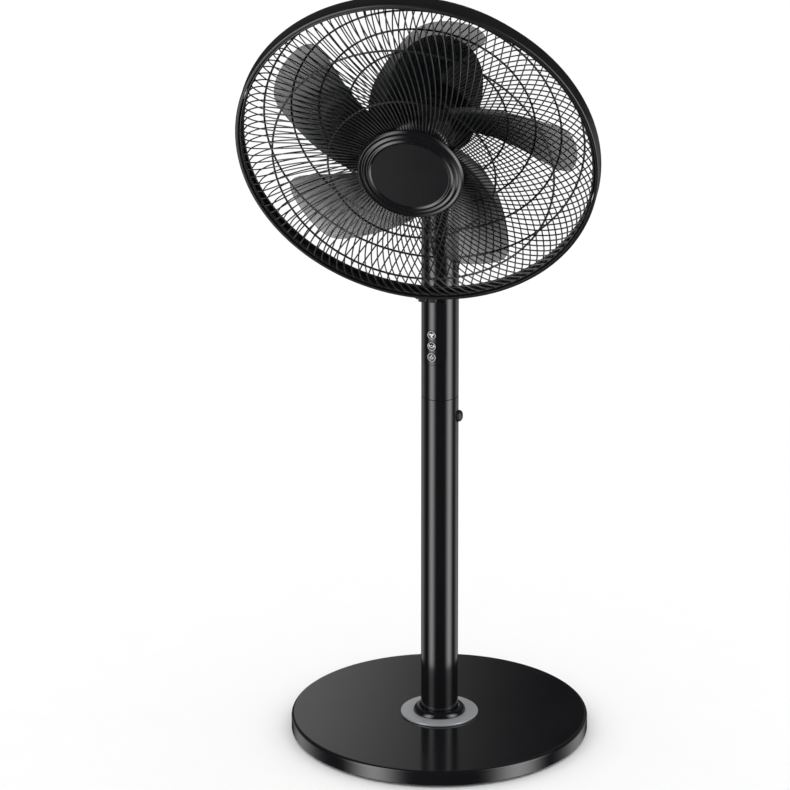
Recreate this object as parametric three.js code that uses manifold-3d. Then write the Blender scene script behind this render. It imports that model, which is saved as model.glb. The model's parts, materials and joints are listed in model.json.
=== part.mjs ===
// Pedestal fan: round weighted base, telescopic column with a control tube, swivel and
// tilt neck, and a caged five-blade head. Millimetres, +Z up, origin on the floor under
// the column, head facing -Y. Run with Node and the packages three and manifold-3d.
import * as THREE from "three";
import { mergeVertices } from "three/addons/utils/BufferGeometryUtils.js";
import Module from "manifold-3d";

const wasm = await Module();
wasm.setup();

// ---- Driving dimensions ------------------------------------------------------------
const GAP = 0.3; // clearance between pieces that touch
const BASE_RADIUS = 180;
const BASE_TOP = 21.5; // top of the base cover above the floor
const BASE_SKIN = 3; // wall of the base cover
const FOOT_HEIGHT = 2.7;
const FOOT_COUNT = 6;
const COLUMN_RADIUS = 22.5; // outside of both column tubes
const COLUMN_BORE = 20.7;
const POLE_RADIUS = 15; // sliding inner pole
const SEAM_Z = 438; // lower tube ends and the control tube starts
const TUBE_TOP = 686; // top of the control tube
const LOCK_Z = 412; // height of the lock button
const PANEL_TURN = -15; // degrees, control panel seen from the head's forward direction
const PANEL_LOW = 484;
const PANEL_HIGH = 566;
const PANEL_WIDTH = 31;
const BUTTON_PITCH = 14.2;
const BUTTON_RADIUS = 5.5;
const LOW_BUTTON_Z = 494;
const GEAR_TEETH = 18;
const PINION_TEETH = 8;
const TOOTH_MODULE = 1;
const PIVOT_Z = 770; // tilt pivot above the floor
const AXIS_RISE = 75; // fan axis above the tilt pivot
const HEAD_DROP = 17; // degrees the head looks down as it stands
const BOLT_RADIUS = 4;
const SHAFT_RADIUS = 4;
const CAGE_RADIUS = 217.5; // outside of the rim band
const RIM_BACK = 116; // the rim band, measured forward from the tilt pivot
const RIM_FRONT = 136;
const BLADE_COUNT = 5;
const BLADE_TIP = 188;
const HUB_RADIUS = 40;
const BLADE_PLANE = 118; // middle of the blades, forward from the tilt pivot
const BLADE_THICKNESS = 2.4;
const BADGE_RADIUS = 64;
const CAGE_WIRES = 16;
const WIRE_RADIUS = 1.7;
const WIRE_SWIRL = 20; // degrees a cage wire turns between its inner and outer ends

const rad = THREE.MathUtils.degToRad;

// ---- Materials ---------------------------------------------------------------------
const paint = (color, roughness, metalness = 0) =>
  new THREE.MeshStandardMaterial({ color, roughness, metalness });
const glossBlack = paint(0x0b0b0c, 0.12);
const satinBlack = paint(0x141415, 0.4);
const gunmetal = paint(0x4a4c50, 0.35, 0.8);
const steel = paint(0x9a9da1, 0.35, 1);
const castIron = paint(0x3a3a3c, 0.7, 0.6);
const rubber = paint(0x151515, 0.9);
const nylon = paint(0xc9c8c2, 0.6);
const smoke = paint(0x3b3d40, 0.2);
const iconGrey = paint(0xb8babd, 0.4);
const boardGreen = paint(0x1f5134, 0.5);
const copper = paint(0x9a5a2c, 0.4, 0.8);

// ---- Solids ------------------------------------------------------------------------
// A closed three.js geometry as a solid whose faces point outwards.
function solid(geometry) {
  const bare = geometry.clone();
  bare.deleteAttribute("normal");
  bare.deleteAttribute("uv");
  const merged = mergeVertices(bare, 1e-4);
  const vertProperties = new Float32Array(merged.attributes.position.array);
  const triVerts = new Uint32Array(merged.index.array);
  const made = new wasm.Manifold(new wasm.Mesh({ numProp: 3, vertProperties, triVerts }));
  if (made.volume() >= 0) return made;
  const turned = triVerts.slice();
  for (let i = 0; i < turned.length; i += 3) {
    [turned[i + 1], turned[i + 2]] = [turned[i + 2], turned[i + 1]];
  }
  return new wasm.Manifold(new wasm.Mesh({ numProp: 3, vertProperties, triVerts: turned }));
}

// A solid back as a three.js geometry.
function surface(piece) {
  const mesh = piece.getMesh();
  const geometry = new THREE.BufferGeometry();
  const points = [];
  for (let i = 0; i < mesh.vertProperties.length; i += mesh.numProp) {
    points.push(...mesh.vertProperties.slice(i, i + 3));
  }
  geometry.setAttribute("position", new THREE.Float32BufferAttribute(points, 3));
  geometry.setIndex(Array.from(mesh.triVerts));
  const flat = geometry.toNonIndexed();
  flat.computeVertexNormals();
  return flat;
}

const join = (...pieces) => pieces.reduce((whole, piece) => whole.add(piece));
const cut = (piece, ...tools) => tools.reduce((left, tool) => left.subtract(tool), piece);

// A profile of [radius, height] points turned round the Z axis.
function turned(profile, segments = 32) {
  const points = [...profile, profile[0]].map(([r, z]) => new THREE.Vector2(r, z));
  const onAxis = profile[0][0] === 0 && profile[profile.length - 1][0] === 0;
  if (onAxis) points.pop();
  return solid(new THREE.LatheGeometry(points, segments).rotateX(Math.PI / 2));
}

const rod = (radius, low, high, segments = 16) =>
  turned([[0, low], [radius, low], [radius, high], [0, high]], segments);

const sleeve = (outer, inner, low, high, segments = 28) =>
  turned([[inner, low], [outer, low], [outer, high], [inner, high]], segments);

// A rod along X or Y through a point.
function rodAlongX(radius, from, to, y, z, segments = 16) {
  return rod(radius, from, to, segments).rotate([0, 90, 0]).translate([0, y, z]);
}
function rodAlongY(radius, from, to, x, z, segments = 16) {
  return rod(radius, -to, -from, segments).rotate([90, 0, 0]).translate([x, 0, z]);
}

function block(x0, x1, y0, y1, z0, z1) {
  const box = new THREE.BoxGeometry(x1 - x0, y1 - y0, z1 - z0);
  return solid(box.translate((x0 + x1) / 2, (y0 + y1) / 2, (z0 + z1) / 2));
}

// A closed outline of [x, y] points raised from one height to another.
function raised(outline, low, high) {
  const shape = new THREE.Shape(outline.map(([x, y]) => new THREE.Vector2(x, y)));
  const settings = { depth: high - low, bevelEnabled: false };
  return solid(new THREE.ExtrudeGeometry(shape, settings).translate(0, 0, low));
}

// Part of a circle as [x, y] points, angles in degrees.
function arc(cx, cy, radius, from, to, steps) {
  return Array.from({ length: steps + 1 }, (_, i) => {
    const angle = rad(from + ((to - from) * i) / steps);
    return [cx + radius * Math.cos(angle), cy + radius * Math.sin(angle)];
  });
}

function roundedRectangle(width, height, radius, steps = 5) {
  const x = width / 2 - radius;
  const y = height / 2 - radius;
  return [
    ...arc(x, y, radius, 0, 90, steps),
    ...arc(-x, y, radius, 90, 180, steps),
    ...arc(-x, -y, radius, 180, 270, steps),
    ...arc(x, -y, radius, 270, 360, steps),
  ];
}

// A straight-flanked gear outline; the first tooth points along +X when phase is 0.
function gearOutline(teeth, phase) {
  const pitch = (TOOTH_MODULE * teeth) / 2;
  const tip = pitch + 0.8 * TOOTH_MODULE;
  const root = pitch - 1.15 * TOOTH_MODULE;
  const halfTip = 0.3 / tip;
  const halfRoot = (0.95 * TOOTH_MODULE) / root;
  const points = [];
  for (let tooth = 0; tooth < teeth; tooth += 1) {
    const middle = rad(phase) + (2 * Math.PI * tooth) / teeth;
    const corners = [[root, -halfRoot], [tip, -halfTip], [tip, halfTip], [root, halfRoot]];
    for (const [r, turn] of corners) {
      points.push([r * Math.cos(middle + turn), r * Math.sin(middle + turn)]);
    }
  }
  return points;
}

// ---- Scene graph -------------------------------------------------------------------
const fan = new THREE.Group();
const panelGroup = new THREE.Group(); // turned so that its -Y is the panel's direction
panelGroup.rotation.z = rad(PANEL_TURN);
const head = new THREE.Group(); // origin on the tilt pivot, turned nose down
head.position.z = PIVOT_Z;
head.rotation.x = rad(HEAD_DROP);
const axis = new THREE.Group(); // +Z forward along the fan axis, +Y up
axis.position.z = AXIS_RISE;
axis.rotation.x = Math.PI / 2;
head.add(axis);
fan.add(panelGroup, head);

function place(name, piece, material, group = fan) {
  const mesh = new THREE.Mesh(surface(piece), material);
  mesh.name = name;
  group.add(mesh);
}

// ---- Base --------------------------------------------------------------------------
const PLATE_LOW = FOOT_HEIGHT + GAP;
const PLATE_HIGH = PLATE_LOW + 2.5;
const WEIGHT_LOW = PLATE_HIGH + GAP;
const STUD_RADIUS = 5;

function baseCover() {
  const edge = 3.5; // rounding of the top edge
  const inner = BASE_RADIUS - BASE_SKIN;
  return turned([
    [STUD_RADIUS + GAP, BASE_TOP - BASE_SKIN],
    [inner - 2, BASE_TOP - BASE_SKIN],
    [inner, BASE_TOP - BASE_SKIN - 2],
    [inner, PLATE_LOW],
    [BASE_RADIUS - 0.8, PLATE_LOW],
    [BASE_RADIUS, PLATE_LOW + 1],
    ...arc(BASE_RADIUS - edge, BASE_TOP - edge, edge, 0, 90, 2),
    [STUD_RADIUS + GAP, BASE_TOP],
  ], 48);
}

place("base_cover", baseCover(), glossBlack);
const plateRadius = BASE_RADIUS - BASE_SKIN - GAP;
place("base_plate", rod(plateRadius, PLATE_LOW, PLATE_HIGH, 48), satinBlack);
const weightTop = BASE_TOP - BASE_SKIN - GAP;
place("base_weight", sleeve(plateRadius - 4, 26, WEIGHT_LOW, weightTop, 48), castIron);
place("centre_foot", rod(22, 0, FOOT_HEIGHT, 32), rubber);
for (let i = 0; i < FOOT_COUNT; i += 1) {
  const angle = (2 * Math.PI * i) / FOOT_COUNT;
  const pad = rod(11, 0, FOOT_HEIGHT, 14).translate([158 * Math.cos(angle), 158 * Math.sin(angle), 0]);
  place(`foot_pad_${i + 1}`, pad, rubber);
}

const tubeFoot = BASE_TOP + GAP;
const columnPlug = join(
  rod(STUD_RADIUS, WEIGHT_LOW + 1, tubeFoot + 4),
  rod(COLUMN_BORE - GAP, tubeFoot, tubeFoot + 24, 32),
);
place("column_plug", columnPlug, steel);
place("anchor_washer", sleeve(22, STUD_RADIUS + GAP, weightTop - 2, weightTop, 32), steel);
const nutHigh = weightTop - 2 - GAP;
const anchorNut = cut(
  raised(arc(0, 0, 9.5, 0, 300, 5), nutHigh - 6, nutHigh),
  rod(STUD_RADIUS + GAP, nutHigh - 7, nutHigh + 1),
);
place("anchor_nut", anchorNut, steel);

const COLLAR_MIDDLE = 25; // the collar's section is part of a circle about this radius
const COLLAR_ROUND = 6.5;
const collarBore = COLUMN_RADIUS + GAP;
const ringHigh = tubeFoot + 2.6;
place("foot_ring", turned([
  [collarBore, tubeFoot], [47, tubeFoot], [47, ringHigh - 1], [46, ringHigh], [collarBore, ringHigh],
]), gunmetal);
const collarLow = ringHigh + GAP;
place("foot_collar", turned([
  [collarBore, collarLow],
  ...arc(COLLAR_MIDDLE, collarLow, COLLAR_ROUND, 0, 180, 6).filter(([r]) => r > collarBore),
  [collarBore, collarLow + 5.5],
]), glossBlack);

// ---- Lower tube with its guide bush and lock button --------------------------------
const LOCK_RADIUS = 7;
const LOCK_STEM = 4;
const LOCK_POCKET = 17.9; // depth of the button's pocket, from the column axis

const lockHole = rodAlongX(LOCK_RADIUS + GAP, LOCK_POCKET, 30, 0, LOCK_Z);
const lowerTube = sleeve(COLUMN_RADIUS, COLUMN_BORE, tubeFoot, SEAM_Z);
place("lower_tube", cut(lowerTube, lockHole), glossBlack);
const guideBush = cut(
  sleeve(COLUMN_BORE - GAP, POLE_RADIUS + GAP, LOCK_Z - 20, SEAM_Z - 0.2),
  lockHole,
  rodAlongX(LOCK_STEM + GAP, POLE_RADIUS - 2, 22, 0, LOCK_Z),
);
place("guide_bush", guideBush, nylon);
const lockButton = turned([
  [0, 18.4], [LOCK_STEM, 18.4], [LOCK_STEM, 21], [LOCK_RADIUS, 21], [LOCK_RADIUS, 25.2],
  [LOCK_RADIUS - 1, 26.6], [LOCK_RADIUS - 3.5, 27.6], [0, 28],
], 16).rotate([0, 90, 0]).translate([0, 0, LOCK_Z]);
place("lock_button", lockButton, satinBlack);

// A coil of round wire along X between two stations.
function coil(radius, wire, from, to, turns, z) {
  const points = Array.from({ length: turns * 8 + 1 }, (_, i) => {
    const angle = (Math.PI * i) / 4;
    const x = from + ((to - from) * i) / (turns * 8);
    return new THREE.Vector3(x, radius * Math.cos(angle), z + radius * Math.sin(angle));
  });
  const shape = new THREE.Shape(arc(0, 0, wire, 0, 288, 4).map(([x, y]) => new THREE.Vector2(x, y)));
  const extrudePath = new THREE.CatmullRomCurve3(points);
  return solid(new THREE.ExtrudeGeometry(shape, { steps: turns * 8, extrudePath }));
}
place("lock_spring", coil(5.4, 0.35, LOCK_POCKET + 0.7, 20.3, 2, LOCK_Z), steel);

// ---- Sliding mast: inner pole and control tube ------------------------------------
const POLE_LOW = 120;
const SOCKET_TOP = SEAM_Z + 32;
const TUBE_BORE = 20.3;
const GLAND_Z = SEAM_Z + 18;
const tubeLow = SEAM_Z + 0.5;

place("inner_pole", sleeve(POLE_RADIUS, 13.4, POLE_LOW, SOCKET_TOP, 28), steel);
place("pole_glide", sleeve(COLUMN_BORE - GAP, POLE_RADIUS + GAP, POLE_LOW, POLE_LOW + 25, 28), nylon);
const glandHole = rodAlongY(4.6, 10, 40, 0, GLAND_Z);
const poleSocket = sleeve(TUBE_BORE - GAP, POLE_RADIUS + GAP, tubeLow + 0.2, SOCKET_TOP - 2, 28);
const socketSlot = rodAlongY(8, 14, 40, 0, GLAND_Z);
place("pole_socket", cut(poleSocket, socketSlot), nylon);

// The panel's outline, pushed through the front of the control tube.
function panelOutline(grow) {
  const outline = roundedRectangle(PANEL_WIDTH + 2 * grow, PANEL_HIGH - PANEL_LOW + 2 * grow, 7 + grow);
  return raised(outline, 8, 30).rotate([90, 0, 0]).translate([0, 0, (PANEL_LOW + PANEL_HIGH) / 2]);
}
const window = panelOutline(GAP).rotate([0, 0, PANEL_TURN]);
const controlTube = cut(
  sleeve(COLUMN_RADIUS, TUBE_BORE, tubeLow, TUBE_TOP),
  window,
  rodAlongY(6 + GAP, 10, 40, 0, GLAND_Z),
);
place("control_tube", controlTube, glossBlack);
const gland = turned([[3.2, 16], [6, 16], [6, 23], [7.5, 23.3], [7.5, 25], [5.2, 34], [3.2, 34]], 16);
place("cord_gland", gland.rotate([-90, 0, 0]).translate([0, 0, GLAND_Z]), rubber);

const buttonNames = ["power_button", "oscillation_button", "speed_button"];
const buttonHeights = buttonNames.map((_, i) => LOW_BUTTON_Z + i * BUTTON_PITCH);
const panelBlank = panelOutline(0).intersect(sleeve(COLUMN_RADIUS + 0.3, TUBE_BORE - 0.3, 470, 580, 48));
const buttonHoles = buttonHeights.map((z) => rodAlongY(BUTTON_RADIUS + GAP, -40, -5, 0, z));
place("control_panel", cut(panelBlank, ...buttonHoles), glossBlack, panelGroup);
buttonNames.forEach((name, i) => {
  const button = turned([
    [0, 18.4], [BUTTON_RADIUS, 18.4], [BUTTON_RADIUS, 23.2], [BUTTON_RADIUS - 0.6, 23.6], [0, 23.6],
  ], 16);
  place(name, button.rotate([90, 0, 0]).translate([0, 0, buttonHeights[i]]), iconGrey, panelGroup);
});
const boardLow = PANEL_LOW + 2;
place("control_board", block(-12, 12, -15.5, -13.9, boardLow, PANEL_HIGH - 2), boardGreen, panelGroup);

// ---- Oscillation drive in the top of the control tube ------------------------------
const DRIVE_Z = 600; // underside of the oscillation motor
const GEAR_LOW = DRIVE_Z + 22;
const GEAR_HIGH = GEAR_LOW + 8;
const CENTRES = (TOOTH_MODULE * (GEAR_TEETH + PINION_TEETH)) / 2 + 0.2;
const SPINDLE_RADIUS = 5;

const oscillationMotor = join(
  rod(12, DRIVE_Z, DRIVE_Z + 18, 32).translate([0, 4, 0]),
  rod(1.5, DRIVE_Z + 17, GEAR_HIGH + 1, 16).translate([0, CENTRES, 0]),
);
place("oscillation_motor", oscillationMotor, steel);
const carrierLow = DRIVE_Z + 18 + GAP;
const motorCarrier = cut(
  rod(TUBE_BORE - GAP, carrierLow, carrierLow + 2, 28),
  rod(1.5 + GAP, DRIVE_Z, GEAR_HIGH, 16).translate([0, CENTRES, 0]),
  rod(SPINDLE_RADIUS, DRIVE_Z, GEAR_HIGH, 16).translate([0, -10, 0]),
);
place("motor_carrier", motorCarrier, nylon);
const pinion = cut(
  raised(gearOutline(PINION_TEETH, -90 + 180 / PINION_TEETH), GEAR_LOW, GEAR_HIGH),
  rod(1.5 + GAP, GEAR_LOW - 1, GEAR_HIGH + 1, 16),
).translate([0, CENTRES, 0]);
place("drive_pinion", pinion, nylon);
const bushLow = GEAR_HIGH + 3;
const swivelBush = sleeve(TUBE_BORE - GAP, SPINDLE_RADIUS + GAP, bushLow, bushLow + 8, 28);
place("swivel_bush", swivelBush, nylon);
place("tube_cap", turned([
  [SPINDLE_RADIUS + GAP, TUBE_TOP - 12],
  [TUBE_BORE - GAP, TUBE_TOP - 12],
  [TUBE_BORE - GAP, TUBE_TOP + GAP],
  [COLUMN_RADIUS, TUBE_TOP + GAP],
  [COLUMN_RADIUS, TUBE_TOP + 3],
  [SPINDLE_RADIUS + GAP, TUBE_TOP + 3],
]), satinBlack);

// ---- Swivel: spindle, gear and tilting neck ----------------------------------------
const NECK_LOW = TUBE_TOP + 3.6;
const SPINDLE_TOP = NECK_LOW + 36;
const EAR_INNER = 9.3;
const EAR_OUTER = 17.5;
const EAR_RADIUS = 14;

place("swivel_spindle", sleeve(SPINDLE_RADIUS, 3, GEAR_LOW - 1, SPINDLE_TOP, 16), steel);
const swivelGear = cut(
  raised(gearOutline(GEAR_TEETH, 90), GEAR_LOW, GEAR_HIGH),
  rod(SPINDLE_RADIUS + GAP, GEAR_LOW - 1, GEAR_HIGH + 1),
);
place("swivel_gear", swivelGear, nylon);

function neckPiece() {
  const slotLow = PIVOT_Z - EAR_RADIUS - 4;
  const body = turned([
    [0, NECK_LOW], [22.3, NECK_LOW], [22.3, NECK_LOW + 8], [20.5, NECK_LOW + 26],
    [18.8, slotLow + 3], [0, slotLow + 3],
  ]);
  const ears = join(
    rodAlongX(EAR_RADIUS, -EAR_OUTER, EAR_OUTER, 0, PIVOT_Z, 28),
    block(-EAR_OUTER, EAR_OUTER, -EAR_RADIUS, EAR_RADIUS, slotLow - 8, PIVOT_Z),
  );
  return cut(
    join(body, ears),
    block(-EAR_INNER, EAR_INNER, -30, 30, slotLow, PIVOT_Z + 30),
    rodAlongX(BOLT_RADIUS + GAP, -30, 30, 0, PIVOT_Z),
    rod(SPINDLE_RADIUS + GAP, NECK_LOW - 1, SPINDLE_TOP + GAP),
  );
}
place("neck", neckPiece(), satinBlack);
const tiltBolt = turned([
  [0, -22], [7, -22], [7, -17.9], [BOLT_RADIUS, -17.9], [BOLT_RADIUS, 27], [0, 27],
], 16).rotate([0, 90, 0]).translate([0, 0, PIVOT_Z]);
place("tilt_bolt", tiltBolt, steel);

function tiltKnob() {
  const lobes = Array.from({ length: 48 }, (_, i) => {
    const angle = rad(i * 7.5);
    const r = 11.6 + 0.8 * Math.cos(12 * angle);
    return [r * Math.cos(angle), r * Math.sin(angle)];
  });
  const grip = raised(lobes, EAR_OUTER + GAP, 31);
  const bore = rod(BOLT_RADIUS + GAP, EAR_OUTER - 1, 27.5);
  return cut(grip, bore).rotate([0, 90, 0]).translate([0, 0, PIVOT_Z]);
}
place("tilt_knob", tiltKnob(), satinBlack);

// ---- Motor -------------------------------------------------------------------------
const COVER_FRONT = 55;
const PLATE_FRONT = 60;
const BOSS_RADIUS = 20;

function tiltLug() {
  const lug = join(
    rodAlongX(12.5, -9, 9, 0, 0, 28),
    block(-9, 9, -12.5, 12.5, 0, 28),
  );
  return cut(
    lug,
    rodAlongX(BOLT_RADIUS + GAP, -20, 20, 0, 0),
    rodAlongY(57.6, -40, 40, 0, AXIS_RISE, 48),
  );
}
place("tilt_lug", tiltLug(), steel, head);

const coverOutside = [[0, -62], [16, -60], [34, -51], [47, -34], [54, -8], [57, 26], [57, COVER_FRONT]];
const coverInside = [
  [54.5, COVER_FRONT], [54.5, 26], [51.6, -7], [45, -32], [32.6, -48.6], [15.6, -57.4], [0, -59.4],
];
place("motor_cover", turned([...coverOutside, ...coverInside]), satinBlack, axis);
place("motor_front_plate", turned([
  [SHAFT_RADIUS + GAP, 50], [9.5, 50], [9.5, 55], [54, 55.3], [57, 55.3], [57, 58], [54, PLATE_FRONT],
  [BOSS_RADIUS, PLATE_FRONT], [BOSS_RADIUS, 74], [SHAFT_RADIUS + GAP, 74],
]), satinBlack, axis);
place("motor_stator", sleeve(50, 30.5, 4, 40, 28), steel, axis);
const windings = (low) => sleeve(44, 32, low, low + 8, 28);
place("front_winding", windings(40 + GAP), copper, axis);
place("rear_winding", windings(-4 - GAP), copper, axis);
place("rear_bearing", sleeve(9, SHAFT_RADIUS + GAP, -42, -34, 16), steel, axis);
place("front_bearing", sleeve(9, SHAFT_RADIUS + GAP, 42, 49.7, 16), steel, axis);
place("motor_rotor", sleeve(30, SHAFT_RADIUS + GAP, 3, 41, 28), steel, axis);
place("motor_shaft", rod(SHAFT_RADIUS, -46, 150), steel, axis);

// ---- Impeller ----------------------------------------------------------------------
const WIDEST_CHORD = 0.44 * CAGE_RADIUS;
const BLADE_SWEEP = 100; // degrees, times a power of the distance from the tip
const ROOT_PITCH = 30; // degrees at the axis
const PITCH_FALL = 18;
const BLADE_CAMBER = 6;
const FIRST_BLADE = 74; // degrees, tip of the first blade seen from the front

// One blade: a ball whose poles become root and tip and whose equator becomes the edges.
// The chord sweeps clockwise towards the tip, and the clockwise edge lies further back.
function blade(turn) {
  const ball = new THREE.SphereGeometry(1, 10, 10);
  const places = ball.attributes.position;
  const root = HUB_RADIUS - 5;
  for (let i = 0; i < places.count; i += 1) {
    const along = (1 - places.getY(i)) / 2;
    const r = root + (BLADE_TIP - root) * along;
    const share = r / CAGE_RADIUS;
    const chord = WIDEST_CHORD * (1 - Math.exp(-(share + 0.02) / 0.24));
    const latitude = Math.abs(places.getY(i));
    const ring = Math.hypot(places.getX(i), places.getZ(i));
    const around = ring < 1e-6 ? 0 : places.getX(i) / ring;
    const side = ring < 1e-6 ? 0 : places.getZ(i) / ring;
    const fill = ring < 1e-6 ? 0 : (1 - latitude ** 10) ** 0.4;
    const across = around * fill;
    const sweep = rad(BLADE_SWEEP) * Math.max(0.87 - share, 0) ** 1.7;
    const angle = rad(turn) + sweep - (across * chord) / (2 * r);
    const pitch = rad(ROOT_PITCH - PITCH_FALL * share);
    const camber = BLADE_CAMBER * (1 - across * across);
    const height = BLADE_PLANE - across * (chord / 2) * Math.tan(pitch) - camber;
    places.setXYZ(
      i,
      r * Math.cos(angle),
      r * Math.sin(angle),
      height + side * fill * (BLADE_THICKNESS / 2),
    );
  }
  return solid(ball);
}

const hub = turned([
  [SHAFT_RADIUS + GAP, 88], [11, 88], [11, 134], [28, 132], [37, 124], [37, 92], [HUB_RADIUS, 92],
  [HUB_RADIUS, 126], [30, 135.5], [16, 138], [SHAFT_RADIUS + GAP, 138],
]);
const blades = Array.from({ length: BLADE_COUNT }, (_, i) => blade(FIRST_BLADE + (360 * i) / BLADE_COUNT));
place("impeller", join(hub, ...blades), smoke, axis);
place("spinner_nut", turned([
  [SHAFT_RADIUS + GAP, 138 + GAP], [15, 138 + GAP], [15, 146], [9, 153], [0, 154], [0, 150.5],
  [SHAFT_RADIUS + GAP, 150.5],
], 16), satinBlack, axis);

// ---- Cage --------------------------------------------------------------------------
// A wire along a profile of [radius, forward] points, turning by swirl on its way out.
function cageWire(profile, start, swirl) {
  const first = profile[0][0];
  const last = profile[profile.length - 1][0];
  const points = profile.map(([r, z]) => {
    const angle = rad(start + (swirl * (r - first)) / (last - first));
    return new THREE.Vector3(r * Math.cos(angle), r * Math.sin(angle), z);
  });
  const square = arc(0, 0, WIRE_RADIUS, 45, 315, 3).map(([x, y]) => new THREE.Vector2(x, y));
  const extrudePath = new THREE.CatmullRomCurve3(points);
  return solid(new THREE.ExtrudeGeometry(new THREE.Shape(square), { steps: 5, extrudePath }));
}

function grille(profile, rings, swirl) {
  const wires = Array.from({ length: CAGE_WIRES }, (_, i) =>
    cageWire(profile, (360 * i) / CAGE_WIRES, swirl),
  );
  return join(...rings, ...wires);
}

const RING_OUTER = CAGE_RADIUS - 4.5;
const RING_WIDTH = 4;
const RING_DEPTH = 3;
const REAR_RING = 118; // back faces of the two outer rings
const FRONT_RING = 131;
const rearProfile = [[56, 62.5], [110, 64], [160, 72], [190, 86], [206, 104], [211, 119.5]];
const rearRings = [
  sleeve(58, BOSS_RADIUS + GAP, PLATE_FRONT + GAP, 63.5),
  sleeve(RING_OUTER, RING_OUTER - RING_WIDTH, REAR_RING, REAR_RING + RING_DEPTH, 48),
];
place("rear_grille", grille(rearProfile, rearRings, -WIRE_SWIRL), satinBlack, axis);
const nutLobes = Array.from({ length: 48 }, (_, i) => {
  const angle = rad(i * 7.5);
  const r = 33 + 1.5 * Math.cos(8 * angle);
  return [r * Math.cos(angle), r * Math.sin(angle)];
});
const grilleNut = cut(raised(nutLobes, 63.5 + GAP, 71), rod(BOSS_RADIUS + GAP, 60, 80, 32));
place("grille_nut", grilleNut, satinBlack, axis);

const frontProfile = [[60, 169], [110, 168], [160, 163], [190, 153], [206, 141], [211, 132.5]];
const frontRings = [
  sleeve(BADGE_RADIUS - 2, BADGE_RADIUS - 8, 167, 171),
  sleeve(RING_OUTER, RING_OUTER - RING_WIDTH, FRONT_RING, FRONT_RING + RING_DEPTH, 48),
];
place("front_grille", grille(frontProfile, frontRings, WIRE_SWIRL), satinBlack, axis);
place("badge_back", rod(BADGE_RADIUS - 9, 163, 168, 32), satinBlack, axis);
place("badge", turned([
  [0, 171.5 + GAP], [BADGE_RADIUS, 171.5 + GAP], [BADGE_RADIUS, 174], [61, 177.5], [58, 176], [55, 178.5],
  [52, 177], [49, 179], [46, 177], [0, 177],
]), glossBlack, axis);

const rimInside = RING_OUTER + GAP;
place("rim_band", turned([
  [rimInside, RIM_BACK], [CAGE_RADIUS - 1, RIM_BACK], [CAGE_RADIUS, RIM_BACK + 1.5],
  [CAGE_RADIUS, RIM_FRONT - 1.5], [CAGE_RADIUS - 1, RIM_FRONT], [rimInside, RIM_FRONT],
], 48), glossBlack, axis);
const latchTop = -CAGE_RADIUS - GAP;
const latch = block(-11, 11, latchTop - 7, latchTop, 119, 133);
const screwHole = rodAlongX(2, -40, 40, latchTop - 3.5, 126);
place("rim_latch", cut(latch, screwHole), satinBlack, axis);
const rimScrew = turned([
  [0, -15], [3.4, -15], [3.4, -11.4], [1.6, -11.4], [1.6, 13], [0, 13],
], 16).rotate([0, 90, 0]).translate([0, latchTop - 3.5, 126]);
place("rim_screw", rimScrew, steel, axis);
const clipGap = RING_OUTER - RING_WIDTH - GAP;
place("top_clip", block(-8, 8, clipGap - 3, clipGap - 0.5, 119.5, 130.5), satinBlack, axis);

export default fan;
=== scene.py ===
# %% [markdown]
# # A pedestal fan, finished in Blender
#
# The working model of the fan is loaded first and never moved: a weighted round base, a
# telescopic column, a control tube with three buttons, a swivel and tilt neck, and a
# caged head. Each plain part that shows is then covered by a finer surface, and every
# part gets the finish of its real material. Lengths are in millimetres unless a comment
# says metres, and one factor turns them into Blender's metres.

# %% Load the fixed frame
import json
import math
import bmesh
import bpy
import numpy as np
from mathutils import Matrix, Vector


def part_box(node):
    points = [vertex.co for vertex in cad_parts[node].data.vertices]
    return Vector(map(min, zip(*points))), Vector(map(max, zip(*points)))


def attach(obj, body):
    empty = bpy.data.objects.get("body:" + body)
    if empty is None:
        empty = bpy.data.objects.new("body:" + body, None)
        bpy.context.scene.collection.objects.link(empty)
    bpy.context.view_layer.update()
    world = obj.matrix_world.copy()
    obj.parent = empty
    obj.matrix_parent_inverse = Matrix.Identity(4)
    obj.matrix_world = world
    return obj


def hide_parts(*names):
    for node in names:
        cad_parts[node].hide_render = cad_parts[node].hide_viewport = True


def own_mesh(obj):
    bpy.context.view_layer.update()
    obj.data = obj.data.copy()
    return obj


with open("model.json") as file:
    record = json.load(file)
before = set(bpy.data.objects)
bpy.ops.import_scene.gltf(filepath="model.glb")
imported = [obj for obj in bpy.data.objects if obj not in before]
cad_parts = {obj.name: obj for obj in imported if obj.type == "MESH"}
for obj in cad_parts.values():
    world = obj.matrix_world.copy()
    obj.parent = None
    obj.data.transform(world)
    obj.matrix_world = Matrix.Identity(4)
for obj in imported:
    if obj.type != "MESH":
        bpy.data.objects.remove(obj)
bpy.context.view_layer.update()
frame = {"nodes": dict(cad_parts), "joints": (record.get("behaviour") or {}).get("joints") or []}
MM = 0.001

# %% [markdown]
# ## Measures taken from the frame
#
# Pieces on the column are described round the vertical axis. Pieces in the head are
# described round the fan's own axis, which looks a little downwards, so the head needs
# its own three directions: across, up, and forward out of the fan.

# %% The head's own directions
spin = next(j for j in frame["joints"] if j["name"] == "fan_spin")
FAN_ORIGIN = np.array(spin["pos_m"])
forward = np.array(spin["axis"]) / np.linalg.norm(spin["axis"])
across = np.array([1.0, 0.0, 0.0])
FAN_AXES = np.stack([across, np.cross(forward, across), forward])
TILT_Z = next(j for j in frame["joints"] if j["name"] == "head_tilt")["pos_m"][2]


def from_fan(points):
    """Head coordinates (across, up, forward) to the model's coordinates."""
    return FAN_ORIGIN + points @ FAN_AXES


def mesh_points(mesh):
    """The corner points of a mesh, in metres."""
    flat = np.empty(len(mesh.vertices) * 3)
    mesh.vertices.foreach_get("co", flat)
    return flat.reshape(-1, 3)


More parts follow.
